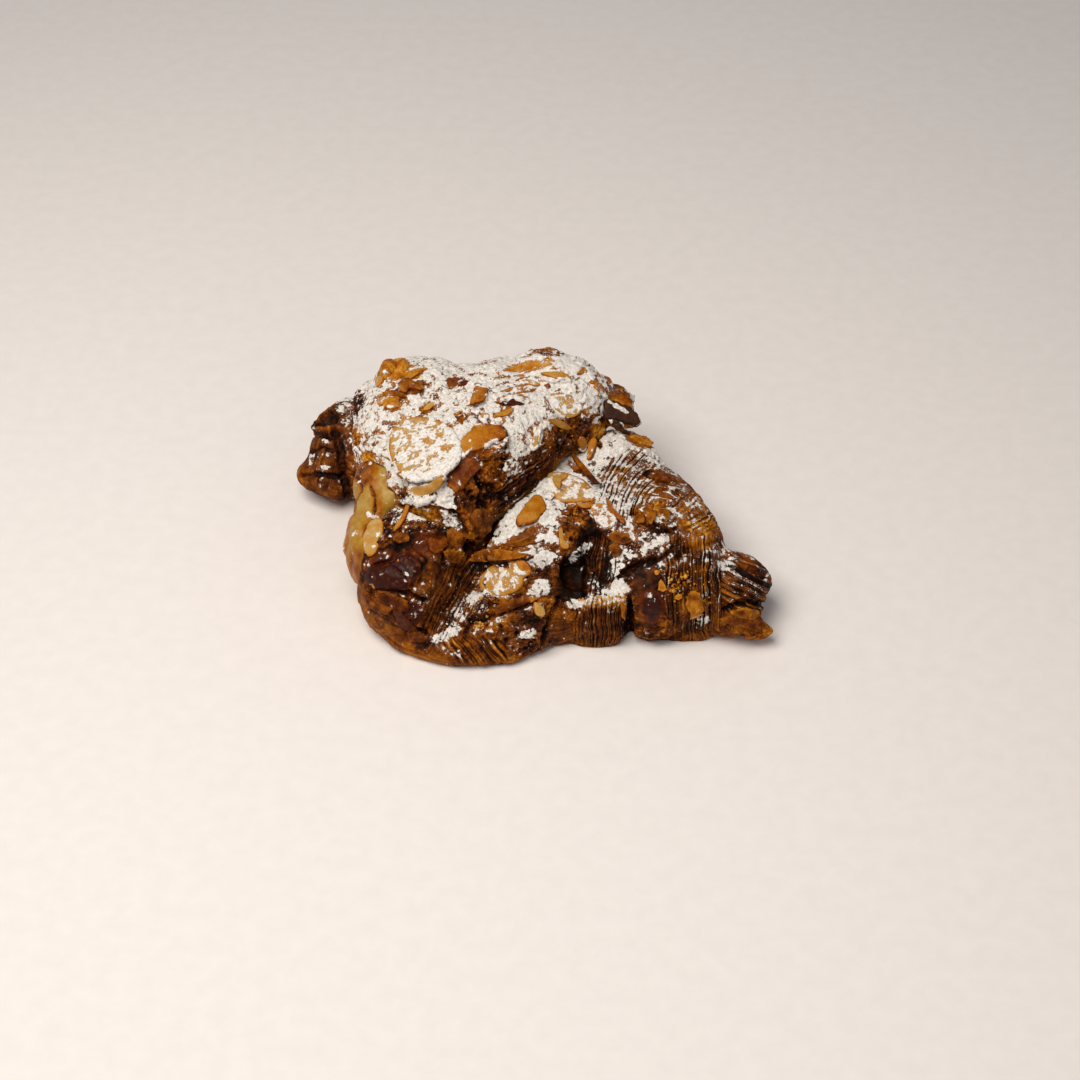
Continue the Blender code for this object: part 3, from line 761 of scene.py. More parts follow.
# %% Outlines of torn crust
# name: the rim's pixels, thickness in mm, lift, dome, browned, burnt, charred, sugar
FLAKES = {
    "horn_leaf": ([(721, 621), (729, 618), (731, 613), (739, 612), (742, 607), (752, 609), (761, 611), (761, 616),
                   (765, 624), (770, 630), (768, 634), (760, 632), (750, 629), (738, 626), (729, 624)],
                  0.7, 1.1, 0.7, 0.6, 0.1, 0.0, 0.0),
    "horn_leaf_fold": ([(731, 613), (742, 608), (752, 609), (761, 612), (761, 617), (750, 619), (739, 618)],
                       0.6, 1.8, 0.3, 0.5, 0.0, 0.0, 0.0),
    "scalloped_flake": ([(688, 593), (694, 592), (700, 594), (702, 600), (706, 600), (702, 604), (704, 610),
                         (701, 615), (696, 619), (691, 619), (690, 612), (686, 606), (687, 600)],
                        0.6, 0.8, 0.5, 0.42, 0.0, 0.0, 0.0),
    "round_flake": ([(675, 596), (678, 594), (682, 595), (682, 598), (679, 600), (675, 598)],
                    0.5, 0.5, 0.1, 0.32, 0.0, 0.0, 0.0),
    "jagged_flake": ([(659, 582), (661, 579), (664, 583), (667, 590), (663, 592), (658, 590)],
                     0.6, 0.6, 0.1, 0.34, 0.0, 0.0, 0.0),
    "jagged_flake_above": ([(654, 571), (657, 570), (660, 571), (658, 575), (655, 575)],
                           0.6, 0.5, 0.0, 0.4, 0.0, 0.0, 0.0),
    "purple_plate": ([(428, 542), (431, 538), (436, 540), (440, 540), (443, 537), (446, 540), (447, 547), (441, 551),
                      (436, 553), (431, 549)], 0.8, 0.7, 0.3, 0.66, 0.3, 0.0, 0.05),
    "brown_plate": ([(447, 531), (452, 530), (458, 531), (464, 535), (466, 541), (463, 547), (455, 550), (450, 549),
                     (448, 541)], 0.8, 0.6, 0.4, 0.68, 0.0, 0.0, 0.08),
    "purple_leaf": ([(397, 553), (405, 552), (411, 558), (417, 566), (416, 572), (412, 579), (409, 574), (404, 567),
                     (399, 561)], 0.7, 0.9, 0.4, 0.66, 0.9, 0.0, 0.14),
    "big_burnt_lobe": ([(365, 576), (371, 567), (381, 563), (392, 565), (401, 571), (407, 580), (406, 588),
                        (396, 591), (384, 591), (373, 587)], 2.0, 0.2, 1.2, 0.78, 0.9, 0.0, 0.08),
    "plate_below_it": ([(376, 596), (386, 593), (397, 595), (407, 603), (409, 611), (400, 612), (388, 608),
                        (379, 603)], 1.0, 0.5, 0.5, 0.76, 0.12, 0.0, 0.08),
    "fold_left": ([(364, 592), (372, 595), (380, 602), (392, 609), (388, 614), (376, 610), (366, 602)],
                  1.4, 0.4, 0.5, 0.72, 0.1, 0.0, 0.03),
    "dark_tongue": ([(392, 612), (401, 612), (410, 620), (419, 632), (410, 631), (399, 624)],
                    1.0, 0.5, 0.4, 0.68, 0.7, 0.1, 0.04),
    "plate_low": ([(406, 633), (412, 629), (421, 632), (428, 640), (420, 643), (411, 641)],
                  0.9, 0.4, 0.3, 0.66, 0.1, 0.0, 0.03),
    "chunk_top_plate": ([(392, 533), (400, 532), (409, 536), (409, 541), (400, 543), (393, 540)],
                        0.8, 0.4, 0.3, 0.6, 0.0, 0.0, 0.05),
    "spike": ([(602, 404), (607, 400), (614, 399), (622, 403), (629, 407), (635, 412), (640, 420), (639, 424),
               (636, 426), (629, 423), (621, 421), (612, 420), (604, 417)], 1.8, 1.2, 0.5, 0.7, 0.3, 0.84, 0.0),
    "streak_on_the_spike": ([(606, 401), (609, 400), (613, 403), (617, 403), (620, 406), (624, 408), (626, 411),
                             (630, 414), (626, 414), (622, 412), (619, 410), (614, 408), (611, 405), (607, 404)],
                            0.6, 2.3, 0.0, 0.3, 0.0, 0.0, 0.9),
    "second_flap": ([(609, 421), (617, 421), (625, 428), (631, 434), (624, 433), (614, 428)],
                    1.0, 0.8, 0.1, 0.7, 0.0, 0.7, 0.25),
    "lid_corner": ([(584, 366), (594, 372), (606, 378), (611, 385), (616, 391), (624, 395), (629, 398), (629, 402),
                    (624, 407), (612, 403), (602, 399), (592, 390), (586, 378)], 3.2, 0.0, 0.8, 0.5, 0.1, 0.0, 0.42),
    "brown_lid_corner": ([(606, 379), (611, 383), (616, 390), (623, 393), (629, 397), (628, 400), (632, 403),
                          (630, 408), (622, 405), (613, 400), (605, 398), (607, 392), (603, 386)],
                         1.6, 1.1, 0.6, 0.56, 0.1, 0.0, 0.08),
    "knob_left": ([(379, 375), (381, 366), (388, 360), (394, 359), (397, 364), (394, 371), (388, 377), (382, 379)],
                  2.4, 0.0, 1.0, 0.3, 0.1, 0.0, 0.12),
    "knob_right": ([(395, 362), (401, 358), (407, 361), (409, 367), (404, 371), (398, 368)],
                   2.2, 0.0, 0.8, 0.3, 0.1, 0.0, 0.12),
    "red_shard": ([(398, 384), (402, 379), (409, 378), (415, 381), (422, 382), (423, 387), (418, 389), (410, 388),
                   (405, 392), (400, 390)], 1.2, 0.2, 0.4, 0.42, 0.36, 0.0, 0.14),
    "red_shard_below": ([(382, 392), (392, 390), (404, 393), (407, 397), (399, 397), (386, 396)],
                        0.8, 0.05, 0.1, 0.5, 0.4, 0.0, 0.14),
    "orange_shard": ([(383, 400), (390, 397), (398, 397), (399, 404), (393, 408), (388, 408), (384, 405)],
                     1.0, 0.1, 0.2, 0.34, 0.0, 0.0, 0.2),
    "red_chip_left": ([(445, 384), (450, 379), (459, 377), (463, 380), (460, 385), (451, 388)],
                      0.8, 0.1, 0.2, 0.5, 0.45, 0.0, 0.16),
    "red_chip": ([(500, 402), (508, 400), (514, 398), (517, 401), (525, 403), (520, 406), (513, 405), (505, 404)],
                 0.8, 0.1, 0.1, 0.65, 0.8, 0.0, 0.16),
    "dark_chip": ([(452, 417), (458, 416), (464, 414), (466, 418), (462, 424), (457, 421)],
                  0.7, 0.05, 0.1, 0.7, 0.2, 0.0, 0.16),
    "brown_chip": ([(544, 385), (549, 383), (551, 387), (547, 389)], 0.6, 0.1, 0.0, 0.6, 0.3, 0.0, 0.16),
    "gold_edge": ([(630, 436), (637, 434), (646, 437), (653, 443), (650, 446), (642, 444), (634, 441)],
                  1.0, 0.3, 0.4, 0.36, 0.0, 0.0, 0.1),
    "red_fold": ([(648, 475), (656, 470), (668, 471), (677, 477), (676, 482), (666, 482), (656, 479)],
                 1.2, 0.5, 0.5, 0.6, 0.5, 0.0, 0.06),
    "red_fold_below": ([(648, 494), (656, 491), (668, 493), (676, 499), (668, 499), (657, 496)],
                       0.8, 0.4, 0.3, 0.55, 0.4, 0.0, 0.12),
    "golden_crust": ([(636, 508), (640, 505), (645, 503), (651, 505), (652, 510), (657, 511), (655, 518), (651, 522),
                      (647, 520), (644, 515), (640, 511)], 0.8, 0.9, 0.3, 0.54, 0.0, 0.0, 0.14),
    "golden_crust_right": ([(659, 510), (664, 508), (671, 511), (670, 516), (667, 521), (664, 514)],
                           0.8, 0.8, 0.1, 0.52, 0.0, 0.0, 0.05),
    "brown_crust_under": ([(633, 521), (636, 515), (641, 513), (645, 518), (644, 522), (637, 523)],
                          0.8, 0.5, 0.1, 0.55, 0.0, 0.0, 0.05),
    "hole_leaf": ([(608, 534), (617, 532), (627, 534), (633, 541), (625, 545), (615, 543), (609, 539)],
                  0.9, 0.7, 0.4, 0.6, 0.0, 0.0, 0.03),
    "hole_leaf_below": ([(608, 545), (616, 542), (623, 550), (620, 556), (613, 557)],
                        0.8, 0.8, 0.3, 0.6, 0.0, 0.0, 0.03),
    "sugared_cut_end": ([(592, 506), (600, 503), (608, 506), (615, 514), (618, 523), (611, 529), (603, 528),
                         (596, 522), (591, 514)], 2.0, 0.4, 0.4, 0.3, 0.0, 0.0, 0.5),
    "flank_leaf": ([(446, 486), (448, 474), (455, 463), (466, 457), (478, 459), (486, 464), (478, 471), (470, 479),
                    (464, 488), (455, 492)], 1.6, 0.4, 0.8, 0.66, 0.3, 0.0, 0.14),
    "flank_lobe": ([(473, 518), (477, 512), (485, 509), (491, 514), (490, 523), (486, 530), (480, 535), (477, 543),
                    (472, 541), (470, 531)], 1.4, 0.6, 0.7, 0.66, 0.0, 0.0, 0.06),
    "tip_of_the_tongue": ([(469, 561), (476, 554), (486, 549), (500, 549), (514, 552), (528, 555), (516, 559),
                           (500, 560), (484, 562)], 1.2, 1.2, 0.4, 0.54, 0.0, 0.0, 0.12),
    "red_leaf_on_the_block": ([(492, 612), (500, 604), (512, 599), (526, 596), (534, 599), (524, 605), (510, 610),
                               (500, 614)], 0.6, 0.0, 0.3, 0.7, 0.2, 0.0, 0.05),
    "ledge_corner": ([(620, 601), (626, 603), (629, 612), (627, 622), (622, 617), (621, 608)],
                     0.9, 0.5, 0.2, 0.48, 0.0, 0.0, 0.08),
    "crumb_on_the_left_edge": ([(445, 553), (452, 550), (460, 552), (464, 558), (457, 563), (449, 561)],
                               1.2, 0.4, 0.2, 0.6, 0.0, 0.0, 0.05),
}

print(len(FLAKES), "flakes of crust")

# %% [markdown]
# ## Shaping a crust: what the tables place
#
# Each kind of relief is worked out as a height in millimetres at every corner of a skin. Sculpting would do it by
# eye, but numbers give the same crust in each run. First come the forms that the tables above place: hollows under
# the almond slices, the steps of the leaves, cracks and raised edges.

# %% Hollows under the almond slices
RING_MARGIN = 4  # pixels round a slice's outline that are looked at


def under_slices(place):
    """How far each point gives way under an almond slice, in mm."""
    pressed = np.zeros(len(place.px))
    for name, depth in PRESSED.items():
        ring = np.array(SLICES[name][0], float)
        low, high = ring.min(axis=0) - RING_MARGIN, ring.max(axis=0) + RING_MARGIN
        close = (place.px > low[0]) & (place.px < high[0]) & (place.py > low[1]) & (place.py < high[1])
        close = np.nonzero(close & (place.towards_camera > 0.2))[0]
        px, py = place.px[close], place.py[close]
        inside = np.zeros(len(close), bool)
        reach = np.full(len(close), 1e9)
        for (x0, y0), (x1, y1) in zip(ring, np.roll(ring, -1, axis=0)):
            across, down = x1 - x0, y1 - y0
            inside ^= ((y0 > py) != (y1 > py)) & (px < across * (py - y0) / (down or 1) + x0)
            run = np.clip(((px - x0) * across + (py - y0) * down) / (across**2 + down**2), 0, 1)
            reach = np.minimum(reach, np.hypot(px - x0 - run * across, py - y0 - run * down))
        nearby = 1 - smooth_step(abs(place.depth[close] - depth_at(*ring.mean(axis=0))), 5, 9)
        share = smooth_step(np.where(inside, reach, -reach), -0.5, 2.0) * nearby
        pressed[close] = np.maximum(pressed[close], share * depth)
    return pressed


print(len(PRESSED), "slices press the crust down")

# %% Steps of the leaves


def leaf_fields(place):
    """Distance across the leaves at each point, in pitches, and how strongly they show."""
    across = np.zeros(len(place.px))
    strength = np.zeros(len(place.px))
    sway = noise(place.points, 7.0, seed=31) * 0.8 + noise(place.points, 2.5, seed=32) * 0.25
    for px, py, along, width, turn, direction, pitch, power in LEAVES.values():
        angle = math.radians(direction)
        right = (place.px - px) * PIXEL
        up = (py - place.py) * PIXEL
        here = brushed(place, px, py, along, width, turn) * power
        crosswise = (up * math.cos(angle) - right * math.sin(angle) + sway) / pitch
        across = np.where(here > strength, crosswise + px, across)
        strength = np.maximum(strength, here)
    fan = brushed(place, *FAN) * smooth_step(place.normals[:, 2], 0.0, 0.4)
    radius = np.hypot((place.px - FAN_MIDDLE[0]), (place.py - FAN_MIDDLE[1]) * FAN_FLATTENED) * PIXEL
    across = np.where(fan > strength, (radius + sway * 0.4) / FAN_PITCH, across)
    strength = np.maximum(strength, fan)
    sideways = 1 - smooth_step(abs(place.normals[:, 2]), 0.35, 0.75)
    hidden = 1 - place.towards_camera
    wraps = sideways * (0.25 + 0.35 * hidden) * smooth_step(noise(place.points, 16.0, seed=33), -0.35, 0.25)
    height = place.points[:, 2] + place.points[:, 0] * 0.12 + sway * 1.2
    across = np.where(wraps > strength, height / SIDE_PITCH, across)
    return across, np.maximum(strength, wraps)


print("leaves on the sides are", SIDE_PITCH, "mm apart")

# %% Relief of cracks and edges


def relief_of_lines(place):
    """Height added by cracks and raised edges, and the painted shade in the cracks and at the edges' feet."""
    height = np.zeros(len(place.px))
    dark = np.zeros(len(place.px))
    wobble = place.ragged * 0.9
    for width, depth, line in CRACKS.values():
        reach, _, near = along_line(place, line)
        inside = (1 - smooth_step(reach + wobble, width * 0.35, width * 1.3)) * near
        height -= depth * inside
        # painted shade: the inside of each crack is darkened as well as lowered
        dark = np.maximum(dark, inside)
    for rise, spread, line in EDGES.values():
        reach, side, near = along_line(place, line)
        signed = reach * side + wobble * 0.8
        lifted = smooth_step(signed, -0.35, 0.35) * np.exp(-np.maximum(signed, 0) / spread)
        # painted shadow: a dark line just below each raised edge, on its low side
        foot = np.exp(-((signed + 0.6) / 0.7) ** 2) * near
        height += rise * (lifted - 0.5 * np.exp(-abs(signed) / spread)) * near
        dark = np.maximum(dark, foot * 0.8)
    return height, dark


print("deepest crack", max(depth for _, depth, _ in CRACKS.values()), "mm")

# %% [markdown]
# ## Crags, plates and pores
#
# Dough swells and wrinkles at several sizes at once, its outermost leaves break into plates with dark seams, and
# the almond topping bakes as porous as cake. Each is a sum over a few widths, because one alone looks like
# a pattern.

# %% Crags, plates and pores
CRAG_HEIGHTS = {8.0: 0.5, 3.6: 0.34, 1.8: 0.2, 0.95: 0.12}  # mm: how wide, and how high
WIDEST_FINE_CRAG = 7  # mm: a calm sheet of crust keeps only crags wider than this
PLATE_HEIGHTS = {6.5: 0.6, 3.0: 0.34}  # mm: how wide, and how far one may stand above the next
PLATE_BEND = 1.8  # mm that the plates' outlines are bent
SEAM_WIDTH = 0.55
PORES = {3.9: (1.3, 0.24), 1.8: (0.6, 0.3)}  # mm: how wide, how deep, and their share of the width


def crag_relief(points, calm, leafy):
    """Height of the crags in mm."""
    crags = np.zeros(len(points))
    for order, (width, high) in enumerate(CRAG_HEIGHTS.items()):
        crags += noise(points, width, order) * high * (1 - 0.75 * calm * (width < WIDEST_FINE_CRAG))
    return crags * (1 - 0.45 * leafy)


def plate_relief(points):
    """Height of the plates in mm, where their seams are, and how much darker or paler each plate is."""
    bend = np.column_stack([noise(points, 4.0, 15 + axis) for axis in range(3)])
    plates, seams, shades = np.zeros(len(points)), np.zeros(len(points)), np.zeros(len(points))
    for order, (width, high) in enumerate(PLATE_HEIGHTS.items()):
        nearest, following, number = cells(points + bend * PLATE_BEND, width, 27 + order)
        seam = 1 - smooth_step(following - nearest, 0.02, 0.02 + SEAM_WIDTH / width)
        plates += ((number - 0.5) * (1 - seam) - 0.35 * seam) * high
        shades += (number - 0.5) * 0.5
        seams = np.maximum(seams, seam)
    return plates, seams, shades


def pore_relief(points, porous):
    """Depth of the pores in mm."""
    pits = np.zeros(len(points))
    for order, (width, (depth, share)) in enumerate(PORES.items()):
        nearest = cells(points, width, 20 + order)[0]
        size = share * (1 + 0.5 * noise(points, width * 2.5, seed=25))
        pits += depth * (1 - smooth_step(nearest, size * 0.5, size * 1.3))
    return pits * porous


print(len(CRAG_HEIGHTS), "widths of crags,", len(PLATE_HEIGHTS), "of plates and", len(PORES), "of pores")

# %% [markdown]
# ## The sugar, and the finished crust
#
# Sifted sugar keeps to what faces up and lies in small heaps. It slides off steep places and falls into grooves
# and cracks, where it no longer shows. At last the skin is moved along its own normals by all of the relief and
# by the thickness of the sugar. The same numbers are kept as attributes, so that colour and relief agree.

# %% Relief and attributes of one crust
SUGAR_HEAPS = {3.0: 0.38, 1.6: 0.3}  # mm: how wide, and how high
SUGAR_DEPTH = 0.3
GRAIN_HEIGHT = 0.32
LEAF_DEPTH = 0.7
# how much each kind of relief browns the crust, and how much sugar shows on it. The terms for cracks, grooves,
# pores, crags and grain are painted shade: hollows come out darker, raised crags and grain paler. Plates and
# seams are the crust's own tone.
BROWNS = {"cracks": 0.32, "grooves": 0.7, "pores": 0.3, "crags": -0.22, "grain": -0.15, "plates": 0.24, "seams": 0.2}
SHOWS_SUGAR = {"turned_up": 0.5, "grooves": -0.7, "cracks": -0.9, "pores": -0.35, "crags": 0.12, "heaps": 0.22,
               "seams": -0.25}


def fallen_sugar(place, start, strokes):
    """How much sugar lies at each point, and how high it is heaped there, in mm."""
    facing_up = smooth_step(place.normals[:, 2], 0.15, 0.75)
    sugar = painted(place, start * facing_up, strokes)
    sugar += 0.17 * noise(place.points, 5.0, seed=44) * smooth_step(sugar, 0.2, 0.5)
    heaps = np.full(len(place.points), SUGAR_DEPTH)
    for order, (width, high) in enumerate(SUGAR_HEAPS.items()):
        heaps += noise(place.points, width, 41 + order) * high
    return sugar, heaps


def bake_crust(item, browning_start, browning, sugar_start, sugar_strokes):
    """Gives a crust its relief, and stores its browning, pores, burns, leaves and sugar."""
    points, normals = places_of(item.data), normals_of(item.data)
    place = Place(points, normals)
    nowhere = np.zeros(len(points))
    porous, burnt, charred, calm = (painted(place, nowhere, strokes) for strokes in (POROUS, BURNT, CHARRED, CALM))
    leaf, leafy = leaf_fields(place)
    lines, crack_and_edge_shade = relief_of_lines(place)
    crags = crag_relief(points, calm, leafy)
    plates, seams, shades = plate_relief(points)
    flaky = (1 - porous) * (1 - 0.85 * leafy) * (1 - calm) * smooth_step(noise(points, 11.0, seed=29), -0.7, 0.1)
    pits = pore_relief(points, porous)
    grain = noise(points, 1.0, seed=26) * GRAIN_HEIGHT * porous
    step = leaf % 1
    tread = smooth_step(step, 0.0, 0.22) * (1 - smooth_step(step, 0.72, 1.0))
    unbroken = leafy * smooth_step(noise(points, 3.0, seed=34), -0.75, -0.1)
    groove = (1 - tread) * unbroken
    sugar, heaps = fallen_sugar(place, sugar_start, sugar_strokes)

    pressed = under_slices(place)
    free = 1 - smooth_step(pressed, 0.05, 0.4)
    heaped = smooth_step(sugar, 0.4, 0.9) * heaps
    height = (crags + plates * flaky + heaped) * (0.25 + 0.75 * free)
    height += lines + grain - pits - groove * LEAF_DEPTH - pressed
    off_the_table = smooth_step(points[:, 2], 0.2, 1.5)
    moved = points + normals * (height * off_the_table)[:, None]
    moved[:, 2] = np.maximum(moved[:, 2], 0)
    move_to(item.data, moved)

    turned_up = normals_of(item.data)[:, 2] - normals[:, 2]
    bare = 1 - 0.7 * smooth_step(sugar, 0.5, 0.85)
    # painted shade: cracks, edge shadow lines, grooves and pores darken the crust; raised crags and grain make it
    # paler
    browned = painted(place, browning_start + noise(points, 14.0, seed=51) * 0.12, browning)
    browned += (BROWNS["cracks"] * np.maximum(crack_and_edge_shade, groove * BROWNS["grooves"]) + BROWNS["pores"] * pits
                + BROWNS["crags"] * crags + BROWNS["grain"] * grain
                + (BROWNS["plates"] * shades + BROWNS["seams"] * seams) * flaky * bare)
    sugar += (SHOWS_SUGAR["turned_up"] * turned_up + SHOWS_SUGAR["grooves"] * groove + SHOWS_SUGAR["cracks"] * crack_and_edge_shade
              + SHOWS_SUGAR["pores"] * pits + SHOWS_SUGAR["crags"] * crags
              + SHOWS_SUGAR["heaps"] * (heaps - SUGAR_DEPTH) + SHOWS_SUGAR["seams"] * seams * flaky)
    kept = {"browned": np.clip(browned, 0, 1), "porous": porous, "burnt": np.clip(burnt, 0, 1), "charred": charred,
            "calm": calm, "leaf": leaf, "leafy": unbroken, "sugar": np.clip(sugar, 0, 1)}
    for name, values in kept.items():
        store(item.data, name, values)
    print(item.name, "relief", height.min().round(2), "to", height.max().round(2), "mm;",
          "mean sugar", sugar.mean().round(2))


bake_crust(skins["lid"], 0.36, LID_BROWNING, 0.86, LID_SUGAR)
bake_crust(skins["base"], 0.55, BASE_BROWNING, 0.5, BASE_SUGAR)

# %% [markdown]
# ## Materials: one way to add a node
#
# Colours are written as they look on a screen, in hex, and Blender wants them linear, so one function turns
# them. Another adds a node with its settings and its links, which keeps each material short to read. The scale of
# a pattern comes from its width in millimetres.

# %% Colour and node helpers


def linear(hex_colour):
    channels = [int(hex_colour[start:start + 2], 16) / 255 for start in (1, 3, 5)]
    return (*(c / 12.92 if c <= 0.04045 else ((c + 0.055) / 1.055) ** 2.4 for c in channels), 1.0)


def feed(tree, node, inputs):
    """Gives a node its inputs, by name or number. A node means its first output."""
    for key, value in inputs.items():
        if isinstance(value, bpy.types.Node):
            value = value.outputs[0]
        if isinstance(value, bpy.types.NodeSocket):
            tree.links.new(value, node.inputs[key])
        else:
            node.inputs[key].default_value = value


def add(tree, kind, inputs=None, stops=None, **settings):
    """Adds a node with its inputs and settings. stops holds the places and colours of a ramp."""
    node = tree.nodes.new("ShaderNode" + kind)
    for key, value in settings.items():
        setattr(node, key, value)
    feed(tree, node, inputs or {})
    if stops:
        elements = node.color_ramp.elements
        while len(elements) < len(stops):
            elements.new(0.5)
        for element, (where, tone) in zip(elements, sorted(stops.items())):
            element.position = where
            element.color = linear(tone)
    return node


def scale_of(width):
    """The scale of a pattern whose swellings or cells are this many mm wide."""
    return 1 / (width * MM)


def new_material(name):
    material = bpy.data.materials.new(name)
    material.use_nodes = True
    tree = material.node_tree
    return material, tree, tree.nodes["Principled BSDF"]


print("a chestnut brown, linear", [round(channel, 3) for channel in linear("#864807")])

# %% [markdown]
# ## Icing sugar on a surface
#
# Icing sugar is a matt white powder that breaks up into specks where it is thin. That edge is finer than any mesh
# here, so the material of whatever lies under the sugar draws it: noise of three widths, 3.4 to 0.6 mm, decides
# where sugar or the bare surface shows, weighted by how much fell there, and single specks lie beyond. The real
# crystals are a few hundredths of a millimetre, too fine to show, so the powder's grain is drawn 1 mm wide. Its
# low places are toned greyer than its heaps, as painted shade between the clumps.

# %% The sugar's specks, grain and film
# painted shade: the darker greys colour the low places of the grain, between the heaps of sugar
SUGAR_TONES_AND_SHADE = {0.0: "#cdc2b0", 0.35: "#ddd5c8", 0.6: "#ebe6dd", 1.0: "#f4f1ec"}
SUGAR_GRAIN = 1.0  # mm
SUGAR_ROUGHNESS = 0.95
SPECK_WIDTHS = {3.4: 0.55, 1.5: 0.42, 0.6: 0.12}  # mm, and share of each in the edge of the sugar
SPECK_LEVELS = (0.37, 0.72)  # the sum of those noises where the first and the last of the crust is covered
DOT_SPACING = 0.7  # mm between the single specks of sugar
DOT_REACH = 0.32  # radius of the widest of them, as a share of the spacing
DOTS_WANTED = 2.3  # how soon single specks appear as sugar grows
FILM = 0.24  # how far the thinnest sugar whitens what it lies on


def dusted(tree, place, amount, bare_colour, bare_roughness, bare_height):
    """Adds icing sugar over a bare surface: gives the colour, the roughness and the height with it."""
    specks = 0.0
    for width, share in SPECK_WIDTHS.items():
        layer = add(tree, "TexNoise", {"Vector": place, "Scale": scale_of(width), "Detail": 1.5})
        specks = add(tree, "Math", {0: layer, 1: share, 2: specks}, operation="MULTIPLY_ADD")
    level = add(tree, "MapRange", {0: specks, 1: SPECK_LEVELS[0], 2: SPECK_LEVELS[1]})
    over = add(tree, "Math", {0: amount, 1: level}, operation="SUBTRACT")
    closed = add(tree, "MapRange", {0: over, 1: -0.05, 2: 0.09}, interpolation_type="SMOOTHSTEP")
    scattered = add(tree, "TexVoronoi", {"Vector": place, "Scale": scale_of(DOT_SPACING)})
    chosen = add(tree, "SeparateColor", {0: scattered.outputs["Color"]})
    wanted = add(tree, "Math", {0: amount, 1: DOTS_WANTED}, operation="MULTIPLY")
    wanted = add(tree, "Math", {0: wanted, 1: chosen}, operation="SUBTRACT")
    size = add(tree, "MapRange", {0: wanted, 1: 0.0, 2: 0.6, 3: 0.0, 4: DOT_REACH})
    dot = add(tree, "Math", {0: size, 1: scattered.outputs["Distance"]}, operation="SUBTRACT")
    dots = add(tree, "MapRange", {0: dot, 1: 0.0, 2: 0.09})
    cover = add(tree, "Math", {0: closed, 1: dots}, operation="MAXIMUM")
    grain = add(tree, "TexNoise", {"Vector": place, "Scale": scale_of(SUGAR_GRAIN), "Detail": 3.0})
    clumps = add(tree, "MapRange", {0: grain, 1: 0.3, 2: 0.62})
    # painted shade: where the grain is low the sugar is greyer, and the same grain lowers it in the bump
    white = add(tree, "ValToRGB", {0: clumps}, stops=SUGAR_TONES_AND_SHADE)
    film = add(tree, "MapRange", {0: over, 1: -0.32, 2: 0.1, 3: 0.0, 4: FILM})
    film = add(tree, "Math", {0: film, 1: amount}, operation="MULTIPLY")
    share = add(tree, "Math", {0: cover, 1: film}, operation="MAXIMUM")
    colour = add(tree, "Mix", {0: share, 6: bare_colour, 7: white}, data_type="RGBA").outputs[2]
    rough = add(tree, "MapRange", {0: cover, 3: bare_roughness, 4: SUGAR_ROUGHNESS})
    heap = add(tree, "Math", {0: clumps, 1: 0.3, 2: 0.7}, operation="MULTIPLY_ADD")
    raised = add(tree, "Math", {0: heap, 1: cover, 2: bare_height}, operation="MULTIPLY_ADD")
    return colour, rough, raised


print("specks of", list(SPECK_WIDTHS), "mm, and single ones", DOT_SPACING, "mm apart")

# %% [markdown]
# ## Browned crust under icing sugar
#
# The crust is baked butter dough: gold where it is thick and pale, chestnut where it browned, red-black and
# a little glossy where sugar ran out and burnt. It could be painted by hand, but a ramp through the browns of baking
# does the same from one number: the browning kept at each point, moved by noise of three widths and, where leaves
# show, by fine lines along them.

# %% The crust's material
CRUST_TONES = {0.0: "#e0aa54", 0.2: "#cb8826", 0.38: "#a9640c", 0.55: "#864807", 0.72: "#5c2b04", 0.88: "#331403",
               1.0: "#130600"}
BURNT_TONES = {0.2: "#853809", 0.55: "#581f05", 0.9: "#350f06"}  # caramel: red-brown, and red-black where thick
CHARRED_TONE = "#35261f"
CRUST_NOISES = ((5.0, 3.0, 0.5), (1.5, 4.0, 0.62), (0.6, 3.0, 0.6))  # mm wide, detail, roughness of detail
LINES_TO_A_LEAF = 2.3
CRUMB_PIT = 0.9  # mm. Real ones are from 0.2 mm, too fine to show


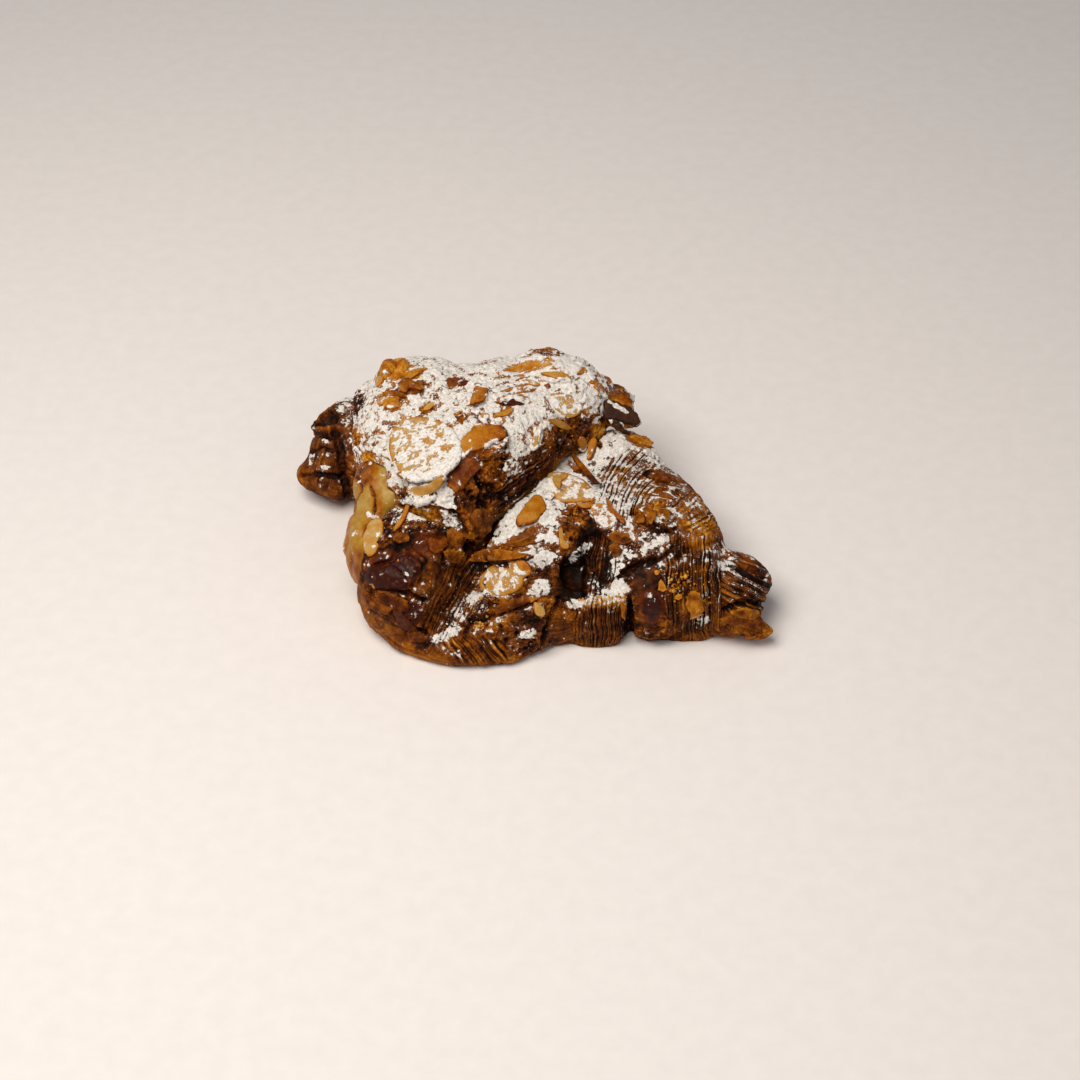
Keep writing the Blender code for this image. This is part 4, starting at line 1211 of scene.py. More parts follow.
def crust_material():
    # Baked laminated dough is dry and mostly matt: light catches only on calm, buttery sheets and on burnt sugar,
    # which lies on it as a thin uneven glaze. Its blisters are 0.2 mm, too fine to show, and drawn 0.6 mm wide.
    material, tree, shader = new_material("baked_laminated_dough_with_icing_sugar")
    place = add(tree, "TexCoord").outputs["Object"]
    given = {name: add(tree, "Attribute", attribute_name=name).outputs["Fac"]
             for name in ("browned", "porous", "burnt", "charred", "calm", "leaf", "leafy", "sugar")}
    blotch, mottle, grain = (add(tree, "TexNoise", {"Vector": place, "Scale": scale_of(width), "Detail": detail,
                                                    "Roughness": rough}) for width, detail, rough in CRUST_NOISES)
    lines = add(tree, "TexNoise", {"W": given["leaf"], "Scale": LINES_TO_A_LEAF, "Detail": 3.0, "Roughness": 0.6},
                noise_dimensions="1D")
    line = add(tree, "Math", {0: lines, 1: 0.5}, operation="SUBTRACT")
    line = add(tree, "Math", {0: line, 1: given["leafy"]}, operation="MULTIPLY")

    plain = add(tree, "Math", {0: given["leafy"], 1: -0.6, 2: 1.0}, operation="MULTIPLY_ADD")
    plain = add(tree, "Math", {0: given["porous"], 1: -0.3, 2: plain}, operation="MULTIPLY_ADD")
    lively = add(tree, "Math", {0: given["calm"], 1: -0.8, 2: 1.0}, operation="MULTIPLY_ADD")
    lively = add(tree, "Math", {0: lively, 1: plain}, operation="MULTIPLY")
    fine = add(tree, "Math", {0: mottle, 1: 1.1, 2: -1.0}, operation="MULTIPLY_ADD")
    fine = add(tree, "Math", {0: grain, 1: 0.9, 2: fine}, operation="MULTIPLY_ADD")
    tone = given["browned"]
    for value, weight in ((blotch, 0.9), (fine, lively), (1.0, -0.45), (line, -2.0)):
        tone = add(tree, "Math", {0: value, 1: weight, 2: tone}, operation="MULTIPLY_ADD")
    bare = add(tree, "ValToRGB", {0: tone}, stops=CRUST_TONES)
    burn = add(tree, "Math", {0: given["burnt"], 1: mottle}, operation="MULTIPLY")
    burn = add(tree, "Math", {0: burn, 1: 2.2}, operation="MULTIPLY", use_clamp=True)
    caramel = add(tree, "ValToRGB", {0: given["burnt"]}, stops=BURNT_TONES)
    for share, over in ((burn, caramel), (given["charred"], linear(CHARRED_TONE))):
        bare = add(tree, "Mix", {0: share, 6: bare, 7: over}, data_type="RGBA").outputs[2]

    rough = add(tree, "MapRange", {0: given["burnt"], 3: 0.55, 4: 0.42})
    for value, weight in ((mottle, 0.25), (given["calm"], -0.15)):
        rough = add(tree, "Math", {0: value, 1: weight, 2: rough}, operation="MULTIPLY_ADD")
    pits = add(tree, "TexVoronoi", {"Vector": place, "Scale": scale_of(CRUMB_PIT)}).outputs["Distance"]
    pits = add(tree, "MapRange", {0: pits, 1: 0.1, 2: 0.4})
    pits = add(tree, "Math", {0: pits, 1: given["porous"]}, operation="MULTIPLY")
    relief = add(tree, "Math", {0: grain, 1: 0.4, 2: mottle}, operation="MULTIPLY_ADD")
    relief = add(tree, "Math", {0: relief, 1: lively}, operation="MULTIPLY")
    for value, weight in ((line, 2.4), (pits, 0.6)):
        relief = add(tree, "Math", {0: value, 1: weight, 2: relief}, operation="MULTIPLY_ADD")
    lined = add(tree, "Math", {0: line, 1: 1.1, 2: given["sugar"]}, operation="MULTIPLY_ADD")
    colour, rough, height = dusted(tree, place, lined, bare, rough, relief)
    bump = add(tree, "Bump", {"Height": height, "Strength": 0.9, "Distance": 0.55 * MM})
    coat = add(tree, "Math", {0: given["burnt"], 1: 0.06}, operation="MULTIPLY")
    feed(tree, shader, {"Base Color": colour, "Roughness": rough, "Normal": bump, "Coat Weight": coat,
                        "Coat Roughness": 0.25, "Specular IOR Level": 0.09})
    return material


def dress(part, material):
    """Gives a skin its one material."""
    mesh = skins[part].data
    mesh.materials.clear()
    mesh.materials.append(material)
    mesh.shade_smooth()


crust_looks = crust_material()
for part in ("base", "lid"):
    dress(part, crust_looks)
print(crust_looks.name, len(crust_looks.node_tree.nodes), "nodes")

# %% [markdown]
# ## The oozing almond cream
#
# Almond cream baked in the gap stays pale and moist, and where it ran out at the left it set in glossy,
# drooping strands, browned along the rims. Strands follow the way it flowed, so the noise that shapes
# them is stretched downwards. Light passes a little way into it, which the shader's subsurface gives.

# %% The cream
CREAM_BROWNING = {
    "upper_rim": (362, 470, 5, 4, 0, 0.85),
    "left_rim": (347, 520, 1.6, 14, 8, 0.6),
    "left_bulge": (350, 545, 3, 5, 0, 0.5),
    "right_rim": (386, 535, 2, 10, -25, 0.6),
    # painted shade: the middle crease is darkened where shade falls in it
    "middle_crease": (372, 497, 1.0, 7, 0, 0.7),
    "brown_drip": (365, 474, 3, 4.5, 10, 0.8),
    "brown_hem": (352, 503, 2.4, 1.6, 20, 0.75),
    "lower_end": (360, 566, 4, 5, 0, 0.62),
    # painted shadow: the cream under the lid's lip is darkened where the lip's shadow falls
    "under_the_lip": (425, 511, 9, 3, -5, 0.95),
    "around_almond": (372, 524, 4, 2, 20, 0.6),
    "pale_upper": (388, 478, 3, 8, 0, 0.0),
    "pale_middle": (365, 505, 3, 6, 0, 0.1),
    "pale_low_left": (356, 530, 2, 5, 0, 0.2),
}
CREAM_CRACKS = {
    "middle_crease": (0.45, 1.1, [(370, 486), (375, 500), (374, 515)]),
    "upper_crease": (0.4, 0.8, [(358, 478), (361, 492), (356, 502)]),
    "almond_crease": (0.4, 0.7, [(375, 517), (367, 525), (364, 537), (365, 549)]),
    "right_side": (0.8, 1.5, [(397, 490), (402, 508), (388, 530), (378, 550)]),
}
CREAM_SPECKS = {
    "specks_low": (382, 530, 4, 8, -25, 0.27),
    "specks_top": (380, 517, 4, 2, -20, 0.27),
    "specks_left": (350, 540, 2, 4, 0, 0.2),
    "top_edge": (360, 478, 5, 3, 0, 0.17),
    "under_the_lip": (425, 511, 9, 3, -5, 0.85),
}
CREAM_TONES = {0.0: "#b6934a", 0.3: "#aa7c24", 0.55: "#a56407", 0.8: "#874400", 1.0: "#421e02"}
DRAWN_OUT = 0.28  # how the noise is stretched along the way that the cream ran


def bake_cream(item):
    """Gives the cream its strands and creases, and stores its browning, with painted shade in the creases, and its
    sugar.
    """
    points, normals = places_of(item.data), normals_of(item.data)
    place = Place(points, normals)
    flow = points * np.array((1.0, 1.0, DRAWN_OUT))
    strands = noise(flow, 3.0, seed=61) * 0.7 + noise(flow, 1.5, seed=62) * 0.3
    height = strands * 0.7 + noise(points, 6.0, seed=63) * 0.5
    dark = np.zeros(len(points))
    for width, depth, line in CREAM_CRACKS.values():
        reach, _, near = along_line(place, line)
        inside = (1 - smooth_step(reach + place.ragged, width * 0.3, width * 1.4)) * near
        height -= depth * inside
        dark = np.maximum(dark, inside)
    move_to(item.data, points + normals * height[:, None])
    browned = painted(place, np.full(len(points), 0.45), CREAM_BROWNING)
    # painted shade: the creases are darkened in colour as well as lowered
    browned = browned - strands * 0.22 + 0.6 * dark + 0.2 * noise(points, 5.0, seed=64)
    store(item.data, "browned", np.clip(browned, 0, 1))
    store(item.data, "sugar", painted(place, np.full(len(points), 0.095), CREAM_SPECKS))


def cream_material():
    # Baked almond cream is fat and moist: a satin surface with soft highlights along its strands, and a warm glow
    # where light enters the pale parts and comes out again beside them. Its strands are 1.2 mm wide.
    material, tree, shader = new_material("moist_baked_almond_cream")
    place = add(tree, "TexCoord").outputs["Object"]
    browned, sugar = (add(tree, "Attribute", attribute_name=name).outputs["Fac"] for name in ("browned", "sugar"))
    along = add(tree, "Mapping", {"Vector": place, "Scale": (1.0, 1.0, 0.25)})
    strand = add(tree, "TexNoise", {"Vector": along, "Scale": scale_of(1.2), "Detail": 4.0})
    tone = add(tree, "Math", {0: strand, 1: 0.6, 2: browned}, operation="MULTIPLY_ADD")
    tone = add(tree, "Math", {0: tone, 1: 0.3}, operation="SUBTRACT")
    cream = add(tree, "ValToRGB", {0: tone}, stops=CREAM_TONES)
    rough = add(tree, "MapRange", {0: strand, 1: 0.2, 2: 0.8, 3: 0.26, 4: 0.5})
    colour, rough, height = dusted(tree, place, sugar, cream, rough, strand)
    bump = add(tree, "Bump", {"Height": height, "Strength": 0.6, "Distance": 0.4 * MM})
    feed(tree, shader, {"Base Color": colour, "Roughness": rough, "Normal": bump, "Specular IOR Level": 0.2,
                        "Subsurface Weight": 0.2, "Subsurface Radius": (1.0, 0.5, 0.15),
                        "Subsurface Scale": 1.5 * MM})
    return material


bake_cream(skins["cream"])
dress("cream", cream_material())
print("cream", len(skins["cream"].data.polygons), "faces")

# %% [markdown]
# ## Laying small things on the crust
#
# Almond slices, flakes and splinters lie on the finished crust. Each is given by the ring of pixels that its rim
# shows at. The line of sight through its middle finds the crust, and a ring of sights around it says which way
# the crust faces there, so the piece lies on it as a real one would, whichever side one looks from.

# %% Finding a seat on the crust
crust_trees = []
for skin in skins.values():
    sides = [list(face.vertices) for face in skin.data.polygons]
    crust_trees.append(BVHTree.FromPolygons([Vector(corner) for corner in places_of(skin.data)], sides))


def first_on_crust(start, direction):
    """The first point of any skin along a line, in mm, or None."""
    hits = [tree.ray_cast(start, direction)[0] for tree in crust_trees]
    found = [hit for hit in hits if hit is not None]
    return min(found, key=lambda point: (point - start).length) if found else None


def seat(px, py, spread):
    """The place on the crust behind a pixel, and which way it faces, evened out over a few pixels."""
    sights = [(px, py)]
    for step in range(8):
        turn = math.tau * step / 8
        sights.append((px + spread * math.cos(turn), py + spread * math.sin(turn)))
    found = [first_on_crust(*line_of_sight(*sight)) for sight in sights]
    found = [point for point in found if point is not None]
    if not found:
        raise ValueError(f"no crust behind pixel {px}, {py}")
    middle = found[0]
    spots = np.array([point for point in found if (point - middle).length < 2.2 * spread * PIXEL + 1])
    if len(spots) < 4:
        return middle, Vector(view_back)
    facing = Vector(np.linalg.svd(spots - spots.mean(axis=0))[2][2])
    if facing.dot(Vector(view_back)) < 0:
        facing.negate()
    return Vector(spots.mean(axis=0)), facing


def meet(px, py, place, up):
    """Where the line of sight through a pixel meets a plane."""
    start, direction = line_of_sight(px, py)
    return start + direction * ((place - start).dot(up) / direction.dot(up))


print("the crust under the golden slice is at", [round(c, 1) for c in seat(484, 440, 12)[0]], "mm")

# %% [markdown]
# ## A flat piece drawn out to its outline
#
# A slice or a flake is thin, round at its rim and never quite flat. It could be cut from a sheet, but a ball
# pressed flat is closed from the start: each of its corners keeps its turn round the middle and moves out
# to the outline there. A slice gets a smooth curve through its pixels, and torn crust keeps its corners.

# %% A closed curve through an outline
CURVE_STEPS = 10  # from each pixel of an outline to the next


def rounded_ring(corners):
    """A closed smooth curve through the corners."""
    before, after, further = (np.roll(corners, shift, axis=0) for shift in (1, -1, -2))
    curve = []
    for step in np.linspace(0, 1, CURVE_STEPS, endpoint=False):
        curve.append(0.5 * (2 * corners + (after - before) * step
                            + (2 * before - 5 * corners + 4 * after - further) * step**2
                            + (3 * corners - before - 3 * after + further) * step**3))
    return np.stack(curve, axis=1).reshape(-1, 2)


print("a square's curve has", len(rounded_ring(np.array(((1, 1), (-1, 1), (-1, -1), (1, -1))))), "points")

# %% The flat piece
FACES_CAMERA = 0.42  # how far a piece is turned to the camera at least, or its outline would be drawn out
RIM_SINKS = (-2.5, 2.0)  # mm, how far at most a rim follows the crust down and up
UNEVEN = 0.16  # mm that the faces of a piece swell and sink


def flat_piece(outline, thickness, lifted, dome, sharpness, uneven, rounded, hug, seed):
    """A flat piece on the crust, whose rim the camera sees through the given pixels.

    It is a ball with flattened faces, drawn out to the outline. hug says how far its rim follows the crust.
    Returns it in mm with how near the rim each corner is and where it lies between the left and the right.
    """
    pixels = np.array(outline, float)
    px, py = pixels.mean(axis=0)
    spread = np.hypot(pixels[:, 0] - px, pixels[:, 1] - py).mean()
    place, up = seat(px, py, spread * 0.75)
    while up.dot(Vector(view_back)) < FACES_CAMERA:
        up = (up + Vector(view_back) * 0.15).normalized()
    middle = meet(px, py, place + up * lifted, up)
    along = (meet(px + 5, py, middle, up) - middle).normalized()
    across = up.cross(along)
    rim_places = [meet(*pixel, middle, up) - middle for pixel in outline]
    ring = np.array([(point.dot(along), point.dot(across)) for point in rim_places])
    sinking = []
    for pixel, point in zip(outline, rim_places):
        hit = first_on_crust(*line_of_sight(px + (pixel[0] - px) * 0.9, py + (pixel[1] - py) * 0.9))
        gap = (hit - middle).dot(up) + lifted if hit is not None else 0.0
        sinking.append(max(RIM_SINKS[0], min(RIM_SINKS[1], gap)) * hug)
    if (ring[:, 0] * np.roll(ring[:, 1], -1) - ring[:, 1] * np.roll(ring[:, 0], -1)).sum() < 0:
        ring, sinking = ring[::-1], sinking[::-1]
    curve = rounded_ring(ring) if rounded else ring
    along_ring = np.arange(len(ring) + 1) / len(ring)
    sunk = np.interp(np.arange(len(curve)) / len(curve), along_ring, [*sinking, sinking[0]])
    steps = np.hypot(*(np.roll(curve, -1, axis=0) - curve).T)
    run = np.concatenate(([0.0], np.cumsum(steps))) / steps.sum()
    reach = math.sqrt(steps.sum() ** 2 / (4 * math.pi))

    bm = bmesh.new()
    bmesh.ops.create_icosphere(bm, subdivisions=5 if reach > 4.5 else 4 if reach > 1.5 else 3, radius=1.0)
    ball = np.array([vertex.co for vertex in bm.verts])
    level = np.hypot(ball[:, 0], ball[:, 1])
    stretch = (level**sharpness + abs(ball[:, 2]) ** sharpness) ** (-1 / sharpness)
    rim = np.clip(level * stretch, 0, 1)
    turn = np.arctan2(ball[:, 1], ball[:, 0]) / math.tau % 1
    edge = np.column_stack([np.interp(turn, run, [*curve[:, axis], curve[0, axis]]) for axis in (0, 1)])
    spot = np.column_stack((edge, np.full(len(edge), seed * 9.0)))
    edge *= (1 + uneven * (noise(spot, 1.6, 73) * 0.6 + noise(spot, 0.7, 74) * 0.5))[:, None]
    flat = edge * rim[:, None]
    bent = np.interp(turn, run, [*sunk, sunk[0]]) * rim**1.5
    spot = np.column_stack((flat, np.full(len(flat), seed * 9.0)))
    height = ball[:, 2] * stretch * thickness / 2 + dome * (1 - rim**2) + bent + UNEVEN * noise(spot, 2.2, 72)
    if not rounded:
        height += UNEVEN * noise(spot, 1.3, 75) + UNEVEN / 2 * noise(spot, 0.7, 76)
    middle, along, across, up = (np.array(vector) for vector in (middle, along, across, up))
    places = middle + flat[:, :1] * along + flat[:, 1:] * across + height[:, None] * up
    for vertex, spot in zip(bm.verts, places * MM):
        vertex.co = spot
    bm.normal_update()
    rightwards = (flat[:, 0] - ring[:, 0].min()) / max(np.ptp(ring[:, 0]), 0.1)
    return bm, rim, np.clip(rightwards, 0, 1)


print(len(SLICES) + len(FLAKES), "outlines to fill")

# %% Joining parts into one piece


def finished(name, parts, material, values):
    """Joins bmeshes into one smooth piece, and stores one list of numbers for each attribute."""
    joined = bmesh.new()
    for part in parts:
        rough_mesh = bpy.data.meshes.new("part")
        part.to_mesh(rough_mesh)
        joined.from_mesh(rough_mesh)
        bpy.data.meshes.remove(rough_mesh)
        part.free()
    mesh = bpy.data.meshes.new(name)
    joined.to_mesh(mesh)
    joined.free()
    mesh.shade_smooth()
    for attribute, numbers in values.items():
        store(mesh, attribute, np.concatenate(numbers))
    mesh.materials.append(material)
    item = add_object(name, mesh)
    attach(item, "root")
    print(name, len(parts), "parts", len(mesh.polygons), "faces")


print(len(bpy.data.meshes), "meshes so far")

# %% [markdown]
# ## Sliced almonds
#
# A sliced almond is a flat teardrop one to two millimetres thick: pale inside, with a thin line of
# brown skin round its rim. Toasted ones are golden, and splinters go red-brown first. Most are browner
# at one side, so each has a tone for its left and one for its right.

# %% The almonds' material
ALMOND_TONES = {0.0: "#d6ba84", 0.35: "#c19246", 0.6: "#b8730e", 0.8: "#984c03", 1.0: "#451902"}


def almond_material():
    # Toasted almond is matt to satin, a little see-through at thin places, and its skin is darker and drier.
    # Its fibres are 0.1 mm, too fine to show, and drawn 0.6 mm wide.
    material, tree, shader = new_material("toasted_sliced_almond")
    place = add(tree, "TexCoord").outputs["Object"]
    rim, toasted, sugar = (add(tree, "Attribute", attribute_name=name).outputs["Fac"]
                           for name in ("rim", "browned", "sugar"))
    blotch, fibres = (add(tree, "TexNoise", {"Vector": place, "Scale": scale_of(width), "Detail": detail})
                      for width, detail in ((3.0, 3.0), (0.6, 2.0)))
    tone = add(tree, "Math", {0: blotch, 1: 0.6, 2: toasted}, operation="MULTIPLY_ADD")
    tone = add(tree, "Math", {0: fibres, 1: 0.3, 2: tone}, operation="MULTIPLY_ADD")
    edge = add(tree, "MapRange", {0: rim, 1: 0.88, 2: 0.995, 3: -0.45, 4: -0.18})
    tone = add(tree, "Math", {0: tone, 1: edge}, operation="ADD")
    nut = add(tree, "ValToRGB", {0: tone}, stops=ALMOND_TONES)
    colour, rough, height = dusted(tree, place, sugar, nut, 0.42, fibres)
    bump = add(tree, "Bump", {"Height": height, "Strength": 0.7, "Distance": 0.4 * MM})
    feed(tree, shader, {"Base Color": colour, "Roughness": rough, "Normal": bump, "Specular IOR Level": 0.2,
                        "Subsurface Weight": 0.12, "Subsurface Radius": (1.0, 0.6, 0.3),
                        "Subsurface Scale": 1.0 * MM})
    return material


almond_looks = almond_material()
print(almond_looks.name, len(almond_looks.node_tree.nodes), "nodes")

# %% The slices
# how much sugar drifted over a slice's rim, at the left and at the right
DRIFTED = {"big_slice": (-0.9, 2.0), "golden_slice": (0.4, 0.3), "orange_square": (0.5, 0.0),
           "veiled_slice": (0.6, 0.6), "slice_at_the_ooze": (0.4, 0.4), "grey_slice": (0.7, 0.7),
           "dusted_right": (0.5, 0.0), "chip_left": (0.5, 0.5), "chip_in_the_middle": (0.4, 0.4),
           "chip_beside_it": (0.6, 0.6), "sliver_beside_it": (0.5, 0.5), "standing_left": (0.6, 0.6),
           "sliver_near_the_crest": (0.3, 0.5)}
NOT_DRIFTED = -1.0


def drifted_rim(points, rim, share):
    """Sugar that fell over the rim of a piece, here and there, where the piece lies in sugar."""
    here = smooth_step(noise(points, 5.5, 83) + 0.3 * noise(points, 1.6, 84) + share, 0.35, 0.8)
    return 0.88 * smooth_step(rim, 0.55, 0.9) * here


for order, (name, spec) in enumerate(SLICES.items()):
    outline, thickness, lifted, dome, toast_left, toast_right, sugar = spec
    bm, rim, rightwards = flat_piece(outline, thickness, lifted, dome, sharpness=4.0, uneven=0.03,
                                     rounded=True, hug=0.15, seed=order)
    points = np.array([vertex.co / MM for vertex in bm.verts])
    facing_up = smooth_step(np.array([vertex.normal.z for vertex in bm.verts]), 0.0, 0.6)
    heap = sugar * facing_up - 0.4 * smooth_step(rim, 0.8, 0.92) + 0.2 * noise(points, 3.0, 80)
    left, right = DRIFTED.get(name, (NOT_DRIFTED, NOT_DRIFTED))
    heap = np.maximum(heap, drifted_rim(points, rim, left + (right - left) * rightwards))
    piled = smooth_step(heap, 0.4, 0.85) * (0.3 + 0.3 * noise(points, 1.2, 42) + 0.25 * noise(points, 2.3, 41))
    for vertex, more in zip(bm.verts, piled * MM):
        vertex.co += vertex.normal * more
    toasted = toast_left + (toast_right - toast_left) * rightwards
    values = {"rim": [rim], "sugar": [np.clip(heap, 0, 1)], "browned": [toasted]}
    finished("almond_" + name, [bm], almond_looks, values)

# %% [markdown]
# ## Torn flakes of crust
#
# The outermost leaves of baked dough are brittle. They lift, curl and break into plates with ragged
# edges half a millimetre thick. They have the crust's own material, so they need all of its attributes.

# %% The flakes
SMOOTH_FLAKES = ("knob_left", "knob_right", "big_burnt_lobe", "orange_shard", "red_shard")
parts = []
flake_values = {key: [] for key in ("browned", "burnt", "charred", "calm", "sugar", "porous", "leaf", "leafy")}
for order, (name, spec) in enumerate(FLAKES.items()):
    outline, thickness, lifted, dome, browned, burnt, charred, sugar = spec
    smooth = name in SMOOTH_FLAKES
    bm, rim, _ = flat_piece(outline, thickness, lifted, dome, sharpness=3.0 if smooth else 7.0, uneven=0.15,
                            rounded=smooth, hug=0.7, seed=order)
    points = np.array([vertex.co / MM for vertex in bm.verts])
    facing_up = smooth_step(np.array([vertex.normal.z for vertex in bm.verts]), -0.2, 0.5)
    drift = drifted_rim(points, rim, 0.5 if sugar > 0.15 else NOT_DRIFTED)
    heap = np.maximum(sugar * facing_up + 0.12 * noise(points, 2.5, 81), drift)
    flake_values["sugar"].append(np.clip(heap, 0, 1))
    flake_values["browned"].append(browned + 0.16 * noise(points, 2.2, 82) - 0.1 * smooth_step(rim, 0.75, 0.98))
    even = {"burnt": burnt, "charred": charred, "calm": 0.6, "porous": 0.2, "leaf": 0.0, "leafy": 0.0}
    for key, number in even.items():
        flake_values[key].append(np.full(len(rim), number))
    parts.append(bm)
finished("crust_flakes", parts, crust_looks, flake_values)

# %% [markdown]
# ## Crumbs
#
# Cutting and filling leave crumbs: gold fuzz where a porous edge tore, and single ones that rolled anywhere.
# Each starts as one of a few lumpy balls of twenty faces, and all are joined into one piece.

# %% A few lumps, and many of them as one piece
draw = np.random.default_rng(20)


def lumpy_ball(seed):
    """The corners and faces of a small uneven lump about 1 mm in radius."""
    bm = bmesh.new()
    bmesh.ops.create_icosphere(bm, subdivisions=1, radius=1.0)
    corners = np.array([vertex.co for vertex in bm.verts])
    corners *= (1 + 0.25 * noise(corners + seed * 3.0, 0.9, 85))[:, None]
    faces = np.array([[vertex.index for vertex in face.verts] for face in bm.faces])
    bm.free()
    return corners, faces


LUMPS = [lumpy_ball(seed) for seed in range(5)]


def scatter_lumps(name, places, facings, sizes, flatness, material, values):
    """One mesh of many lumps, each turned at random and pressed flat along the way its seat faces."""
    corners, faces = [], []
    for order, (place, facing, size) in enumerate(zip(places, facings, sizes)):
        lump, sides = LUMPS[order % len(LUMPS)]
        spin = draw.random() * math.tau
        side = np.cross(facing, (math.cos(spin), math.sin(spin), 0.3))
        side /= np.linalg.norm(side)
        axes = np.array((side, np.cross(facing, side), np.array(facing) * flatness))
        faces.append(sides + len(lump) * order)
        corners.append(place + (lump * size) @ axes)
    mesh = bpy.data.meshes.new(name)
    mesh.from_pydata(np.concatenate(corners) * MM, [], np.concatenate(faces).tolist())
    mesh.shade_smooth()
    for attribute, numbers in values.items():
        store(mesh, attribute, np.repeat(numbers, len(LUMPS[0][0])))
    mesh.materials.append(material)
    item = add_object(name, mesh)
    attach(item, "root")
    print(name, len(places), "lumps", len(mesh.polygons), "faces")


print(len(LUMPS), "lumps of", len(LUMPS[0][1]), "faces")

# %% Crumbs of crust
# name: pixel of the middle, half width and half height in pixels, how many, browned, sugar
CRUMB_PATCHES = {
    "fuzz_on_the_wrap": (680, 580, 13, 9, 46, 0.22, 0.0),
    "fuzz_below_it": (672, 588, 8, 4, 16, 0.25, 0.0),
    "ledge_edge": (602, 600, 24, 3.5, 60, 0.12, 0.3),
    "ledge_corner": (622, 594, 6, 5, 10, 0.2, 0.3),
    "chunk_crumb": (455, 556, 9, 7, 40, 0.28, 0.0),
    "block_edge": (478, 626, 14, 5, 24, 0.2, 0.2),
    "shoulder": (700, 528, 14, 9, 40, 0.22, 0.1),
    "porous_lump": (570, 512, 10, 5, 22, 0.4, 0.1),
    "tongue_edge": (505, 548, 26, 6, 18, 0.22, 0.2),
    "flank": (495, 470, 28, 18, 40, 0.45, 0.0),
    "flank_right": (560, 440, 22, 12, 22, 0.45, 0.1),
    "leaves": (692, 590, 22, 34, 40, 0.35, 0.2),
    "front_slope": (470, 600, 26, 24, 26, 0.35, 0.3),
    "chunk": (410, 590, 36, 38, 22, 0.4, 0.1),
}
spots, facings, browned, dust = [], [], [], []
for px, py, wide, high, count, tone, sugar in CRUMB_PATCHES.values():
    for _ in range(count):
        turn, reach = draw.random() * math.tau, math.sqrt(draw.random())
        hit = first_on_crust(*line_of_sight(px + wide * reach * math.cos(turn), py + high * reach * math.sin(turn)))
        if hit is None:
            continue
        spots.append(np.array(hit))
        facings.append(view_back)
        browned.append(tone + draw.normal() * 0.12)
        dust.append(sugar)
sizes = np.clip(draw.lognormal(-1.05, 0.4, len(spots)), 0.18, 0.9)
flat_values = {key: np.zeros(len(spots)) for key in ("burnt", "charred", "calm", "porous", "leaf", "leafy")}
scatter_lumps("toasted_crumbs", spots, facings, sizes, 0.8, crust_looks,
              {"browned": np.clip(browned, 0, 1), "sugar": np.array(dust), **flat_values})

# %% [markdown]
# ## Clumps of icing sugar
#
# Sifted sugar isn't a smooth coat: it falls in small clumps, which pile up in drifts and lie single at their edges.
# The clumps are sown over the crust's own corners, more where the sugar attribute is high, so they need no place
# of their own, and they are seen from every side.

# %% The clumps
CLUMPS = {"lid": 4200, "base": 3600}
CLUMP_SIZE = 0.45  # mm, a typical radius
CLUMP_SUNK = 0.5  # share of its radius
LONE_CLUMP = 0.5  # share of its size that a clump has where the sugar is thin


def sugar_material():
    # Icing sugar is ground crystals: a matt white that light enters a little, so its shadows are never dark.
    # The crystals are too fine to show, and their grain is drawn 0.5 mm wide,
    # greyer in its low places as painted shade.
    material, tree, shader = new_material("sifted_icing_sugar")
    place = add(tree, "TexCoord").outputs["Object"]
    grain = add(tree, "TexNoise", {"Vector": place, "Scale": scale_of(0.5), "Detail": 3.0})
    white = add(tree, "ValToRGB", {0: grain}, stops=SUGAR_TONES_AND_SHADE)
    bump = add(tree, "Bump", {"Height": grain, "Strength": 0.6, "Distance": 0.2 * MM})
    feed(tree, shader, {"Base Color": white, "Normal": bump, "Roughness": SUGAR_ROUGHNESS,
                        "Specular IOR Level": 0.2, "Subsurface Weight": 0.2,
                        "Subsurface Radius": (1.0, 0.95, 0.9), "Subsurface Scale": 0.5 * MM})
    return material


spots, facings, amounts = [], [], []
for part, count in CLUMPS.items():
    mesh = skins[part].data
    points, normals = places_of(mesh), normals_of(mesh)
    depth = np.empty(len(points), np.float32)
    mesh.attributes["sugar"].data.foreach_get("value", depth)
    patchy = np.clip(0.55 + 0.45 * noise(points, 2.2, 91), 0.05, 1)
    facing_up = 0.3 + 0.7 * smooth_step(normals[:, 2], -0.1, 0.6)
    chance = smooth_step(depth, 0.22, 0.85) * patchy * facing_up
    chosen = draw.choice(len(points), count, replace=False, p=chance / chance.sum())
    spots.append(points[chosen])
    facings.append(normals[chosen])
    amounts.append(depth[chosen])
spots, facings = np.concatenate(spots), np.concatenate(facings)
sizes = CLUMP_SIZE * np.clip(draw.lognormal(0.0, 0.45, len(spots)), 0.45, 2.4)
sizes *= LONE_CLUMP + (1 - LONE_CLUMP) * smooth_step(np.concatenate(amounts), 0.35, 0.75)
spots = spots - facings * (sizes * CLUMP_SUNK)[:, None]
scatter_lumps("icing_sugar_clumps", spots, facings, sizes, 0.7, sugar_material(), {})

# %% [markdown]
# ## The skins stand for the solids
#
# A croissant has no joints, so all pieces ride on the root body. The skins of the base and the lid have too many
# faces for one piece, so each is parted by upright cuts, and each part is closed.

# %% Parting the skins, riding and replacing
PARTS = {"base": 4, "lid": 2, "cream": 1}
NODES = {"base": ("croissant_base", "baked_crust"), "lid": ("croissant_lid", "sugared_crust"),
         "cream": ("almond_cream", "almond_cream")}


